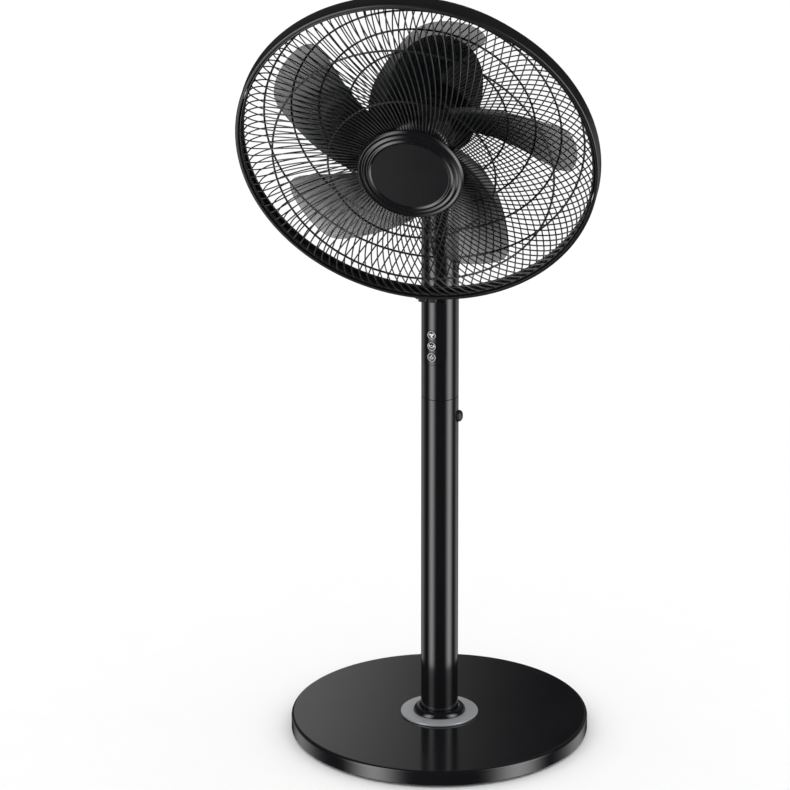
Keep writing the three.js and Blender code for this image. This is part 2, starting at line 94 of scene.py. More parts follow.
def head_size(name):
    """Largest radius round the fan axis, and how far back and forward a part reaches, in mm."""
    points = (mesh_points(frame["nodes"][name].data) - FAN_ORIGIN) @ FAN_AXES.T / MM
    return np.hypot(points[:, 0], points[:, 1]).max(), points[:, 2].min(), points[:, 2].max()


def tall_size(name):
    """Largest radius round the column axis, and lowest and highest point of a part, in mm."""
    points = mesh_points(frame["nodes"][name].data) / MM
    return np.hypot(points[:, 0], points[:, 1]).max(), points[:, 2].min(), points[:, 2].max()


CAGE_R, RIM_BACK, RIM_FRONT = head_size("rim_band")
_, TUBE_LOW, SEAM_Z = tall_size("lower_tube")
COLUMN_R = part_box("lower_tube")[1].x / MM
BASE_R, BASE_LOW, BASE_TOP = tall_size("base_cover")
INSET = 0.05  # how far a fine surface stays inside the plain part it covers
print("cage", round(2 * CAGE_R), "base", round(2 * BASE_R), "column", round(2 * COLUMN_R), "mm across")

# %% [markdown]
# ## From numbers to surfaces
#
# Nearly every part of a fan is turned or bent from wire, so a few small functions make
# most of it: one rounds the corners of a profile, one spins a profile round an axis, and
# one sweeps a round wire along many paths at once. A surface is a pair of whole arrays,
# its points and its four-sided faces.

# %% Profiles with rounded corners
def rounded(corners, closed=True, steps=6, guard=0.25):
    """Rounds a profile. corners are rows of (radius, height, rounding) in mm.

    Each rounding is an arc that touches both straight sides, at a distance of the
    rounding times the tangent of half the turn. A guard point beside each arc keeps the
    flat next to it flat when shaded."""
    corners = np.array(corners, float)
    count = len(corners)
    points = []
    for i in range(count):
        here, size = corners[i, :2], corners[i, 2]
        if size == 0 or (not closed and i in (0, count - 1)):
            points.append(here[None])
            continue
        before, after = corners[i - 1, :2] - here, corners[(i + 1) % count, :2] - here
        room = min(np.linalg.norm(before), np.linalg.norm(after))
        before, after = before / np.linalg.norm(before), after / np.linalg.norm(after)
        half = math.acos(np.clip(before @ after, -1, 1)) / 2
        reach = size / math.tan(half)
        middle = (before + after) / np.linalg.norm(before + after)
        centre = here + middle * size / math.sin(half)
        start, end = here + before * reach - centre, here + after * reach - centre
        t = np.linspace(0, 1, steps + 1)[:, None]
        swing = math.pi - 2 * half
        curve = (np.sin((1 - t) * swing) * start + np.sin(t * swing) * end) / math.sin(swing)
        curve = centre + curve
        if room > 2 * (reach + guard):
            curve = np.vstack([curve[0] + before * guard, curve, curve[-1] + after * guard])
        points.append(curve)
    return np.vstack(points)


# %% Grids, turned shapes and wires
def grid_faces(rows, columns, close_rows=False, close_columns=True):
    """Four-sided faces between neighbouring rows and columns of a grid of points."""
    r = np.arange(rows if close_rows else rows - 1)[:, None]
    c = np.arange(columns if close_columns else columns - 1)[None, :]
    r2, c2 = (r + 1) % rows, (c + 1) % columns
    faces = np.stack([r * columns + c, r * columns + c2, r2 * columns + c2, r2 * columns + c], -1)
    return faces.reshape(-1, 4)


def turned(profile, steps=192, closed=True):
    """A profile of (radius, height) rows spun round the third axis.

    x = radius cos(angle), y = radius sin(angle), z = height, for all angles at once."""
    angle = np.linspace(0, 2 * np.pi, steps, endpoint=False)
    radius, height = profile[:, :1] * MM, profile[:, 1:] * MM
    height = np.broadcast_to(height, (len(profile), steps))
    points = np.stack([radius * np.cos(angle), radius * np.sin(angle), height], -1)
    return points.reshape(-1, 3), grid_faces(len(profile), steps, close_rows=closed)


def wires(paths, radius, sides=6):
    """Round wires along many paths. paths is (wires, steps, 3) in metres.

    At each step the wire's circle is spanned by the direction round the fan axis, made
    square to the wire, and by the direction square to both. The first and last circles
    shrink to a point, which closes the ends."""
    paths = np.concatenate([paths[:, :1], paths, paths[:, -1:]], 1)
    along = np.gradient(paths[:, 1:-1], axis=1)
    along = np.concatenate([along[:, :1], along, along[:, -1:]], 1)
    along /= np.linalg.norm(along, axis=-1, keepdims=True)
    around = np.stack([-paths[..., 1], paths[..., 0], 0 * paths[..., 0]], -1)
    around -= (around * along).sum(-1, keepdims=True) * along
    around /= np.linalg.norm(around, axis=-1, keepdims=True)
    third = np.cross(along, around)
    size = np.full(paths.shape[1], radius * MM)
    size[[0, -1]] = 0
    turn = np.linspace(0, 2 * np.pi, sides, endpoint=False)
    ring = around[:, :, None] * np.cos(turn)[:, None] + third[:, :, None] * np.sin(turn)[:, None]
    points = paths[:, :, None] + ring * size[:, None, None]
    one = grid_faces(paths.shape[1], sides)
    faces = one[None] + np.arange(len(paths))[:, None, None] * paths.shape[1] * sides
    return points.reshape(-1, 3), faces.reshape(-1, 4)


def ring(radius, height, wire, steps=240, sides=8):
    """A closed wire ring: a small circle spun round the axis."""
    turn = np.linspace(0, 2 * np.pi, sides, endpoint=False)
    circle = np.stack([radius + wire * np.cos(turn), height + wire * np.sin(turn)], -1)
    return turned(circle, steps)


def merged(*shells):
    """Several (points, faces) pairs as one."""
    offsets = np.cumsum([0] + [len(points) for points, _ in shells[:-1]])
    points = np.concatenate([points for points, _ in shells])
    faces = np.concatenate([faces + offset for (_, faces), offset in zip(shells, offsets)])
    return points, faces


# %% A mesh as a finished piece
def outwards(points, faces):
    """Turns all faces round if the shell's signed volume is negative.

    The volume is a sixth of the sum, over two triangles per face, of the triple product
    of the corners."""
    a, b, c, d = (points[faces[:, k]] for k in range(4))
    volume = (a * np.cross(b, c)).sum() + (a * np.cross(c, d)).sum()
    return faces if volume >= 0 else faces[:, ::-1]


def tidy_mesh(mesh, sharp):
    """Welds poles and seams, and shades smooth but for edges sharper than an angle."""
    weld_distance = 2e-6  # metres
    work = bmesh.new()
    work.from_mesh(mesh)
    bmesh.ops.remove_doubles(work, verts=work.verts, dist=weld_distance)
    work.to_mesh(mesh)
    work.free()
    mesh.shade_smooth()
    mesh.set_sharp_from_angle(angle=math.radians(sharp))


def make_piece(name, shells, material, body, replaces=(), sharp=35, frame_of=None):
    """Puts closed shells into one mesh, riding on a body of the working model.

    frame_of places the points, if they were drawn somewhere simpler. replaces names the
    plain parts that the piece covers."""
    shells = [(points, outwards(points, faces)) for points, faces in shells]
    points, faces = merged(*shells)
    if frame_of is not None:
        points = frame_of(points)
    mesh = bpy.data.meshes.new(name)
    mesh.from_pydata(points.tolist(), [], faces.tolist())
    piece = bpy.data.objects.new(name, mesh)
    bpy.context.scene.collection.objects.link(piece)
    tidy_mesh(mesh, sharp)
    mesh.materials.append(material)
    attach(piece, body)
    if replaces:
        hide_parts(*replaces)
    print(name, len(mesh.polygons), "faces")
    return piece


# %% [markdown]
# ## Finishes
#
# A finish is one Principled shader whose colour, roughness and bump come from a
# pattern sized in millimetres. Colours are written as sRGB hex, as a paint chart gives
# them, and one function turns them into the linear values that light is added in.

# %% Colour and node helpers
def linear(hex_colour):
    """sRGB hex to linear: c / 12.92 below 0.04045, else ((c + 0.055) / 1.055) ** 2.4."""
    srgb = np.array([int(hex_colour[i:i + 2], 16) for i in (1, 3, 5)]) / 255
    value = np.where(srgb <= 0.04045, srgb / 12.92, ((srgb + 0.055) / 1.055) ** 2.4)
    return (*value.tolist(), 1.0)


def add(tree, kind, sockets=None, **settings):
    """Adds a node. settings are its own properties, sockets are values or links for its inputs."""
    node = tree.nodes.new(kind)
    for key, value in settings.items():
        setattr(node, key, value)
    for key, value in (sockets or {}).items():
        if isinstance(value, bpy.types.NodeSocket):
            tree.links.new(value, node.inputs[key])
        else:
            node.inputs[key].default_value = value
    return node


def per_mm(size):
    """A texture scale that repeats every size millimetres."""
    return 1 / (size * MM)


def finish(name, base, rough, spread, grain, bump, detail=3.0, shade=1.25, **shader):
    """A moulded, painted or cast finish.

    base is the colour and shade how much lighter its lightest patches are. rough is the
    mean roughness and spread its variation from patch to patch. grain is the size of the
    surface texture in mm, bump its height in mm and detail how many finer layers it has.
    Further arguments are set on the shader's sockets."""
    patch_size = 45  # mm
    material = bpy.data.materials.new(name)
    material.use_nodes = True
    tree = material.node_tree
    tree.nodes.clear()
    place = add(tree, "ShaderNodeTexCoord").outputs["Object"]
    fine = add(tree, "ShaderNodeTexNoise", {"Vector": place, "Scale": per_mm(grain), "Detail": detail})
    broad = add(tree, "ShaderNodeTexNoise", {
        "Vector": place, "Scale": per_mm(patch_size), "Detail": 4.0,
    })
    dark = linear(base)
    light = tuple(min(1.0, v * shade) for v in dark[:3]) + (1.0,)
    colour = add(tree, "ShaderNodeMix", {
        "Factor": broad.outputs["Fac"], "A": dark, "B": light,
    }, data_type="RGBA")
    patch = add(tree, "ShaderNodeMapRange", {
        "Value": broad.outputs["Fac"], "From Min": 0.3, "From Max": 0.7,
        "To Min": max(rough - spread, 0.02), "To Max": rough + spread,
    })
    height = add(tree, "ShaderNodeBump", {
        "Height": fine.outputs["Fac"], "Distance": bump * MM, "Strength": 1.0,
    })
    principled = add(tree, "ShaderNodeBsdfPrincipled", {
        "Base Color": colour.outputs["Result"], "Roughness": patch.outputs["Result"],
        "Normal": height.outputs["Normal"],
    })
    for key, value in shader.items():
        principled.inputs[key.replace("_", " ")].default_value = value
    add(tree, "ShaderNodeOutputMaterial", {"Surface": principled.outputs["BSDF"]})
    return material


# %% [markdown]
# The column tubes are steel, sprayed and baked in gloss black enamel. A sprayed coat
# levels to a faint orange peel, waves of about two millimetres that soften the edges of
# a reflection without breaking it. The base cover is injection-moulded ABS from a
# polished mould, harder and flatter in its gloss. The satin mouldings come from a
# spark-eroded mould, whose fine grain scatters the light.

# %% Black finishes
# A deep black mirror, with bright strips whose edges are only just soft.
enamel = finish("gloss_black_baked_enamel", "#131315", 0.12, 0.02, 2.2, 0.0006, IOR=1.5)
# The same paint with a wider and duller highlight, so the rim reads as a dark grey line.
band_enamel = finish("semi_gloss_black_baked_enamel", "#151517", 0.3, 0.03, 2.2, 0.001, IOR=1.5)
# The flattest gloss here: the base and the badge reflect like dark glass.
piano = finish("piano_black_moulded_abs", "#141416", 0.11, 0.03, 30, 0.0008, IOR=1.5)
# A broad soft sheen without a mirror image, which shows the round of a moulding.
satin = finish("satin_black_spark_grained_abs", "#161617", 0.42, 0.05, 0.6, 0.02)
# A fine broken glint along every wire, so the cage looks drawn with a thin pen.
wire_coat = finish("black_powder_coated_wire", "#121213", 0.34, 0.06, 1.1, 0.012)
# Hardly any shine, so that the pale ink on the caps stands out.
cap_black = finish("matt_black_moulded_abs", "#0b0b0c", 0.6, 0.05, 0.5, 0.015, Specular_IOR_Level=0.25)

# %% [markdown]
# The other finishes are small accents: pale ink on the buttons, rubber on the feet and
# the cord boot, and bare metals that show where the column slides or a bolt sticks out.
# The rest is inside, and each part there still gets what it is made of.

# %% Other finishes
# Even, pale marks that can be read from a few steps away.
keys = finish("light_grey_pad_printed_icons", "#d9dbdd", 0.45, 0.05, 0.5, 0.004)
# Dull dark grey that swallows reflections.
rubber = finish("black_moulded_rubber", "#121212", 0.78, 0.06, 0.8, 0.02, shade=1.6)
# A milky, slightly see-through white, seen as a thin ring where the pole slides.
nylon = finish("natural_moulded_nylon", "#c9c6bb", 0.5, 0.06, 1.5, 0.01, Subsurface_Weight=0.15)
# The dark shiny green of a circuit board.
solder_mask = finish("green_solder_mask", "#155030", 0.35, 0.05, 2.0, 0.01)
# Warm orange brown with a wet look.
varnished_copper = finish("varnished_copper_windings", "#a8602f", 0.32, 0.05, 0.8, 0.08, Metallic=0.85)
# Rough dark grey with a coarse, sandy skin.
iron = finish("raw_cast_iron", "#3c3b3a", 0.7, 0.1, 1.2, 0.12, Metallic=0.7, detail=6.0)
# A clean cool grey with a blurred highlight.
zinc = finish("zinc_plated_steel", "#a3a6aa", 0.34, 0.06, 1.0, 0.006, Metallic=1.0)
# A bright mirror in hard black and white stripes.
chrome = finish("chromed_drawn_tube", "#c4c6c9", 0.08, 0.02, 6.0, 0.0006, Metallic=1.0)
print(len(bpy.data.materials), "finishes")

# %% [markdown]
# ## The base
#
# The base is a heavy disc hidden under a shallow moulded cover with a rounded top edge.
# It is turned from one profile, since every section through its axis is the same. Two
# hundred and fifty-six steps keep the long mirror-like edge free of facets. Under it lie
# the pressed plate, the cast weight and the rubber feet of the working model.

# %% Base cover
STUD_HOLE = 5.5
base_out, base_in = BASE_R - 2 * INSET, BASE_R - 2.9
base_top, base_ceiling, base_hem = BASE_TOP - INSET, BASE_TOP - 3, BASE_LOW + 2 * INSET
base_profile = rounded([
    (STUD_HOLE, base_top, 0.3), (base_out, base_top, 3.4), (base_out, base_hem, 0.8),
    (base_in, base_hem, 0.3), (base_in, base_ceiling, 1.5), (STUD_HOLE, base_ceiling, 0.3),
])
make_piece("base_shell", [turned(base_profile, 256)], piano, "base", ["base_cover"])

# %% [markdown]
# A spun steel washer in satin gunmetal paint spreads the column's load, and a domed
# collar of gloss-black plastic hides the joint. The collar's section is an arc of a
# circle with a small bead where it meets the tube, and the bead catches the light as a
# thin bright line.

# %% Foot ring and foot collar
RING_R, RING_LOW, RING_TOP = tall_size("foot_ring")
COLLAR_R, COLLAR_LOW, COLLAR_TOP = tall_size("foot_collar")
COLLAR_BORE = COLUMN_R + 0.4
# A pale, soft metal glow: the one light ring at the foot of a black column.
gunmetal = finish(
    "satin_gunmetal_painted_steel", "#9c9ea1", 0.33, 0.04, 0.9, 0.008, Metallic=0.3, shade=1.15
)
flange_profile = rounded([
    (COLLAR_BORE, RING_TOP - INSET, 0.3), (RING_R - INSET, RING_TOP - INSET, 1.1),
    (RING_R - INSET, RING_LOW + INSET, 0.3), (COLLAR_BORE, RING_LOW + INSET, 0.3),
])
make_piece("foot_flange", [turned(flange_profile)], gunmetal, "base", ["foot_ring"])


def arc(radius, start, end, steps, centre):
    """Points along an arc from start to end degrees, as (radius, height) rows."""
    turn = np.radians(np.linspace(start, end, steps))
    return np.array(centre) + radius * np.stack([np.cos(turn), np.sin(turn)], -1)


DOME_RADIUS = COLLAR_TOP - COLLAR_LOW - INSET
dome = arc(DOME_RADIUS, 0, 110, 22, (COLLAR_R - DOME_RADIUS - INSET, COLLAR_LOW))
bead = arc(0.55, 20, 180, 9, (COLUMN_R + 0.95, COLLAR_LOW + 5.6))
bore_edge = np.array([[COLLAR_BORE, COLLAR_LOW + INSET]])
collar_profile = np.vstack([dome, bead, bore_edge])
make_piece("foot_dome", [turned(collar_profile)], piano, "base", ["foot_collar"])

# %% [markdown]
# ## Tubes with openings
#
# The column tubes are drawn steel with a punched hole for the lock button and, higher
# up, a window for the control panel. A boolean cut would leave long thin faces that
# wrinkle a mirror finish. Instead the tube is drawn flat as a grid, the cells round each
# opening are swapped for rings that run from a rectangle to the opening's edge, and the
# flat sheet is then rolled up and given a wall.

# %% A flat sheet with openings
def sheet(us, vs, openings=()):
    """A grid of (u, v) points in mm. openings are rows of (u, v, width, height, corner radius).

    The cells that an opening touches are left out. Rings of new cells then run from the
    rectangle that this leaves to the opening's rounded edge. Each of their points moves
    in a straight line towards the nearest point of the rectangle between the corners'
    centres, and stops short of it by the corner radius."""
    margin, steps = 0.3, 4
    rows, columns = len(vs), len(us)
    grid = np.stack(np.meshgrid(us, vs), -1)
    keep = np.ones((rows - 1, columns - 1), bool)
    points, faces, count = [grid.reshape(-1, 2)], [], rows * columns
    for u, v, width, height, corner in openings:
        left = np.searchsorted(us, u - width / 2 - corner * margin) - 1
        right = np.searchsorted(us, u + width / 2 + corner * margin)
        low = np.searchsorted(vs, v - height / 2 - corner * margin) - 1
        high = np.searchsorted(vs, v + height / 2 + corner * margin)
        keep[low:high, left:right] = False
        up, back = np.arange(low, high), np.arange(right, left, -1)
        loop = np.concatenate([
            up * columns + right, high * columns + back,
            np.arange(high, low, -1) * columns + left, low * columns + np.arange(left, right),
        ])
        outside = points[0][loop]
        inner_box = np.array([width / 2 - corner, height / 2 - corner])
        nearest = np.clip(outside - (u, v), -inner_box, inner_box)
        away = outside - (u, v) - nearest
        edge = nearest + (u, v) + corner * away / np.linalg.norm(away, axis=-1, keepdims=True)
        share = np.linspace(0, 1, steps + 1)[1:, None, None]
        points.append((outside * (1 - share) + edge * share).reshape(-1, 2))
        rings = np.vstack([loop[None], count + np.arange(steps * len(loop)).reshape(steps, -1)])
        following = np.roll(rings, -1, axis=1)
        quads = np.stack([rings[:-1], following[:-1], following[1:], rings[1:]], -1)
        faces.append(quads.reshape(-1, 4))
        count += steps * len(loop)
    cells = grid_faces(rows, columns, close_columns=False).reshape(rows - 1, columns - 1, 4)
    faces.insert(0, cells[keep])
    used, faces = np.unique(np.vstack(faces), return_inverse=True)
    return np.vstack(points)[used], faces.reshape(-1, 4)


def rolled(flat, faces, outer, inner, middle_angle):
    """The flat sheet rolled round the column: u becomes angle times the outer radius.

    The inner skin is the same sheet at the inner radius. Points that meet at the seam
    are made one, and every edge that then has a face on one side only gets a wall."""
    same_point = 1e-7  # metres
    angle = math.radians(middle_angle) + flat[:, 0] / outer
    skins = [
        np.stack([r * np.cos(angle), r * np.sin(angle), flat[:, 1]], -1) * MM for r in (outer, inner)
    ]
    places = np.round(skins[0] / same_point)
    _, first, same = np.unique(places, axis=0, return_index=True, return_inverse=True)
    faces = same.reshape(-1)[faces]
    skins = [skin[first] for skin in skins]
    total = len(first)
    edges = np.stack([faces, np.roll(faces, -1, axis=1)], -1).reshape(-1, 2)
    free = ~np.isin(edges[:, 0] * total + edges[:, 1], edges[:, 1] * total + edges[:, 0])
    a, b = edges[free].T
    walls = np.stack([b, a, a + total, b + total], -1)
    return np.vstack(skins), np.vstack([faces, faces[:, ::-1] + total, walls])


def heights(low, high, *fine):
    """Rows from low to high, a few far apart, and 1.5 mm apart in each fine stretch."""
    coarse_rows, fine_gap, least_gap = 14, 1.5, 0.6
    rows = [np.linspace(low, high, coarse_rows)] + [np.arange(a, b, fine_gap) for a, b in fine]
    rows = np.sort(np.concatenate(rows))
    rows = rows[np.diff(rows, prepend=-np.inf) > least_gap]
    rows[-1] = high
    return rows


def soften(piece, width):
    """Rounds the edges sharper than 50 degrees with a Bevel modifier, width in mm."""
    bevel = piece.modifiers.new("rounded_edges", "BEVEL")
    bevel.width = width * MM
    bevel.segments = 3
    bevel.limit_method = "ANGLE"
    bevel.angle_limit = math.radians(50)
    bevel.harden_normals = True


# %% The lower tube
TUBE_SKIN = COLUMN_R - 0.03
TUBE_LINING = COLUMN_R - 1.8
TUBE_EDGE = 0.35
HALF_ROUND = np.pi * COLUMN_R
around = np.linspace(-HALF_ROUND, HALF_ROUND, 121)
lock_low, lock_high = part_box("lock_button")
LOCK_Z = (lock_low.z + lock_high.z) / 2 / MM
LOCK_R = (lock_high.z - lock_low.z) / 2 / MM
LOCK_GAP = 0.82  # room for the button's side, also where the tube's lining narrows the hole
LOCK_HOLE = 2 * (LOCK_R + LOCK_GAP)
points, faces = sheet(
    around, heights(TUBE_LOW + INSET, SEAM_Z, (LOCK_Z - 14, LOCK_Z + 14)),
    [(0, LOCK_Z, LOCK_HOLE, LOCK_HOLE, LOCK_HOLE / 2)],
)
lower_column = make_piece(
    "lower_column", [rolled(points, faces, TUBE_SKIN, TUBE_LINING, 0)], enamel, "base",
    ["lower_tube"],
)
soften(lower_column, TUBE_EDGE)

# %% [markdown]
# The upper tube carries the controls. Its sheet is centred a quarter turn past the
# panel, so the seam lies opposite that and well away from both openings, the panel's
# window and the round hole for the cord's boot.

# %% The control tube
_, CONTROL_LOW, CONTROL_TOP = tall_size("control_tube")
panel_low, panel_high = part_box("control_panel")
PANEL_LOW, PANEL_HIGH = panel_low.z / MM, panel_high.z / MM
PANEL_Z = (PANEL_LOW + PANEL_HIGH) / 2
PANEL_RISE = (PANEL_HIGH - PANEL_LOW) / 2
press = next(j for j in frame["joints"] if j["name"] == "power_press")["axis"]
PANEL_ANGLE = math.degrees(math.atan2(-press[1], -press[0]))
PANEL_R = COLUMN_R + 0.3
PANEL_HALF_CHORD = 15.5  # half the panel's width measured straight, PANEL_HALF along the curve
PANEL_HALF = PANEL_R * math.asin(PANEL_HALF_CHORD / PANEL_R)
PANEL_CORNER = 7.0
PANEL_GAP = 0.45
TUBE_MIDDLE = PANEL_ANGLE + 90
gland_low, gland_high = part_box("cord_gland")
GLAND_Z = (gland_low.z + gland_high.z) / 2 / MM
GLAND_U = math.radians(90 - TUBE_MIDDLE) * COLUMN_R
GLAND_HOLE = 12.8
window = (
    -math.radians(90) * COLUMN_R, PANEL_Z, 2 * (PANEL_HALF + PANEL_GAP), 2 * (PANEL_RISE + PANEL_GAP),
    PANEL_CORNER + PANEL_GAP,
)
tube_rows = heights(
    CONTROL_LOW, CONTROL_TOP, (GLAND_Z - 12, GLAND_Z + 12), (PANEL_LOW - 8, PANEL_HIGH + 8)
)
points, faces = sheet(
    around, tube_rows, [window, (GLAND_U, GLAND_Z, GLAND_HOLE, GLAND_HOLE, GLAND_HOLE / 2)]
)
control_column = make_piece(
    "control_column", [rolled(points, faces, TUBE_SKIN, TUBE_LINING, TUBE_MIDDLE)], enamel, "mast",
    ["control_tube"],
)
soften(control_column, TUBE_EDGE)

# %% [markdown]
# ## The control panel
#
# The panel is a separate gloss-black moulding that fills the window, a third of a
# millimetre proud of the tube, so its rounded outline shows only as a fine line. It has
# three round openings in a column for the buttons. The same flat sheet is used, and its
# rows are drawn in towards both ends, which gives the rounded corners.

# %% Panel with three openings
button_z = [
    (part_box(name)[0].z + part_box(name)[1].z) / 2 / MM
    for name in ("power_button", "oscillation_button", "speed_button")
]
BUTTON_HOLE = 11.7
bend = PANEL_CORNER * np.sin(np.radians(np.arange(10, 91, 10)))
straight = PANEL_RISE - PANEL_CORNER
rows = np.concatenate([
    -(straight + bend)[::-1], np.arange(-straight, straight, 1.2), [straight], straight + bend,
]) + PANEL_Z
points, faces = sheet(
    np.linspace(-PANEL_HALF, PANEL_HALF, 30), rows,
    [(0, z, BUTTON_HOLE, BUTTON_HOLE, BUTTON_HOLE / 2) for z in button_z],
)
beyond = np.maximum(np.abs(points[:, 1] - PANEL_Z) - straight, 0)
narrow = PANEL_HALF - PANEL_CORNER + np.sqrt(np.maximum(PANEL_CORNER**2 - beyond**2, 0))
points[:, 0] *= narrow / PANEL_HALF
panel_moulding = make_piece(
    "panel_moulding", [rolled(points, faces, COLUMN_R + 0.28, COLUMN_R - 2.4, PANEL_ANGLE)], piano,
    "mast", ["control_panel"],
)
soften(panel_moulding, 0.26)

# %% [markdown]
# ## Buttons
#
# Each button is a low round cap. Its mark is light grey ink, pad-printed in a thick
# film: a ring, and inside it a sign for power, for swinging, or for speed. The marks are
# thin solids that stand a fifth of a millimetre above the cap, made from bands that
# follow an arc and from plates with a drawn outline.

# %% Bands and flat shapes
def band(radius, width, start, end, low, high, centre=(0, 0), steps=40):
    """A flat strip along an arc from start to end degrees, closed at both ends.

    Its four corners at each angle are the inner and outer radius at the low and high
    face, and at the ends they shrink to the strip's middle."""
    angle = np.radians(np.linspace(start, end, steps))
    angle = np.concatenate([angle[:1], angle, angle[-1:]])[:, None]
    half = np.full((steps + 2, 1), width / 2)
    half[[0, -1]] = 0
    rise = np.full((steps + 2, 1), (high - low) / 2)
    rise[[0, -1]] = 0
    r = radius + half * np.array([-1, 1, 1, -1])
    h = (high + low) / 2 + rise * np.array([-1, -1, 1, 1])
    points = np.stack([centre[0] + r * np.cos(angle), centre[1] + r * np.sin(angle), h], -1)
    return points.reshape(-1, 3) * MM, grid_faces(steps + 2, 4)


def flat_shape(outline, low, high):
    """A plate from an outline of (x, y) rows: middle, low outline, high outline, middle."""
    middle = np.broadcast_to(outline.mean(0), outline.shape)
    rows = [(middle, low), (outline, low), (outline, high), (middle, high)]
    points = np.stack([np.column_stack([xy, np.full(len(xy), h)]) for xy, h in rows])
    return points.reshape(-1, 3) * MM, grid_faces(4, len(outline))


def onto_panel(z):
    """Stands a shape drawn in the XY plane on the panel at height z, its top outwards."""
    out = np.array([math.cos(math.radians(PANEL_ANGLE)), math.sin(math.radians(PANEL_ANGLE)), 0])
    right = np.array([-out[1], out[0], 0])
    axes = np.stack([right, np.array([0, 0, 1.0]), out])
    return lambda points: points @ axes + np.array([0, 0, z * MM])


# %% Three caps and their marks
KEY_BACK, KEY_TOP, KEY_R = 18.5, 23.35, 5.45
key_profile = rounded([
    (0, KEY_BACK, 0), (KEY_R, KEY_BACK, 0.2), (KEY_R, KEY_TOP, 0.7), (0, KEY_TOP, 0),
], closed=False)
INK_LOW, INK_HIGH = KEY_TOP - 0.1, KEY_TOP + 0.22
INK_RING_R = KEY_R - 0.6
ink_ring = [band(INK_RING_R, 0.5, start, start + 180, INK_LOW, INK_HIGH) for start in (0, 180)]
bar = np.array([[-0.5, 0.6], [0.5, 0.6], [0.5, 3.0], [-0.5, 3.0]])
power_sign = [
    band(2.0, 0.9, 140, 400, INK_LOW, INK_HIGH),
    flat_shape(bar, INK_LOW, INK_HIGH),
]
arrow = np.array([[-0.1, 1.35], [1.5, -0.7], [-1.5, -0.5]])


def arrow_at(x, y, turn):
    """The arrow head turned by an angle in degrees and moved to x, y."""
    c, s = math.cos(math.radians(turn)), math.sin(math.radians(turn))
    return arrow @ np.array([[c, s], [-s, c]]) + (x, y)


SWING_CENTRE = (0, 1.3)
dot_turn = np.linspace(0, 2 * np.pi, 20, endpoint=False)
dot = 0.65 * np.stack([np.cos(dot_turn), np.sin(dot_turn)], -1) + SWING_CENTRE
swing_sign = [
    band(3.0, 0.85, 205, 335, INK_LOW, INK_HIGH, SWING_CENTRE),
    flat_shape(arrow_at(-2.75, 0.9, 20), INK_LOW, INK_HIGH),
    flat_shape(arrow_at(2.75, 0.9, -20), INK_LOW, INK_HIGH),
    flat_shape(dot, INK_LOW, INK_HIGH),
]
petal_turn = np.linspace(0, 2 * np.pi, 96, endpoint=False)
petal_radius = 0.7 + 2.7 * np.abs(np.cos(1.5 * petal_turn)) ** 1.2
petal_swirl = petal_turn + 0.25 * petal_radius
petals = petal_radius[:, None] * np.stack([np.cos(petal_swirl), np.sin(petal_swirl)], -1)
speed_sign = [flat_shape(petals, INK_LOW, INK_HIGH)]

signs = {"power": power_sign, "oscillation": swing_sign, "speed": speed_sign}
for (name, sign), z in zip(signs.items(), button_z):
    make_piece(
        f"{name}_cap", [turned(key_profile, 64, closed=False)], cap_black, f"{name}_key",
        [f"{name}_button"], frame_of=onto_panel(z),
    )
    make_piece(
        f"{name}_mark", ink_ring + sign, keys, f"{name}_key",
        frame_of=onto_panel(z),
    )

# %% [markdown]
# ## Small fittings on the column
#
# The height lock is a domed push button that slides in through the lower tube, against a
# coil of plated spring wire, which in the real fan flattens as the button goes in. Here the
# coil is drawn once, at rest, and stays on the base. The cord gland is a tapered rubber
# boot whose ribs let it bend. The cap on top of the control tube is a turned moulding, and
# the pole that slides inside is chromed. All but the coil are profiles spun round their own
# axis, and those of the button and the boot are then laid along X and Y.

# %% Lock button and its coil
def along_x(z):
    """Lays a shape turned round the third axis along +X, at height z."""
    return lambda points: np.stack([points[:, 2], points[:, 0], points[:, 1] + z * MM], -1)


lock_in, lock_out = lock_low.x / MM, lock_high.x / MM
lock_side, lock_shoulder = LOCK_R - 0.02, 21
lock_profile = rounded([
    (0, lock_in, 0), (4, lock_in, 0.3), (4, lock_shoulder, 0), (lock_side, lock_shoulder, 0.3),
    (lock_side, 24.6, 0.8), (LOCK_R - 1.4, 26.6, 2), (3.2, lock_out - 0.25, 3), (0, lock_out - 0.02, 0),
], closed=False)
make_piece(
    "lock_knob", [turned(lock_profile, 64, closed=False)], satin, "lock", ["lock_button"],
    frame_of=along_x(LOCK_Z), sharp=60,
)


def coil(radius, wire, low, high, turns, sides=8):
    """A coil of round wire, whose height grows evenly with its angle. Both ends are pointed."""
    angle = np.linspace(0, 2 * np.pi * turns, 32 * turns)
    angle = np.concatenate([angle[:1], angle, angle[-1:]])[:, None]
    size = np.full((len(angle), 1), wire)
    size[[0, -1]] = 0
    t = np.linspace(0, 2 * np.pi, sides, endpoint=False)
    r = radius + size * np.cos(t)
    h = low + (high - low) * angle / (2 * np.pi * turns) + size * np.sin(t)
    points = np.stack([r * np.cos(angle), r * np.sin(angle), h], -1)
    return points.reshape(-1, 3) * MM, grid_faces(len(angle), sides)


COIL_R, COIL_WIRE, COIL_BACK, COIL_FRONT, COIL_TURNS = 5.4, 0.35, 18.6, 20.3, 2
coil_shell = coil(COIL_R, COIL_WIRE, COIL_BACK, COIL_FRONT, COIL_TURNS)
lock_coil = make_piece(
    "lock_coil", [coil_shell], zinc, "base", ["lock_spring"],
    frame_of=along_x(LOCK_Z), sharp=60,
)
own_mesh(lock_coil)


# %% Cord boot
def along_y(z):
    """Lays a shape turned round the third axis along +Y, at height z."""
    return lambda points: np.stack([points[:, 1], points[:, 2], points[:, 0] + z * MM], -1)


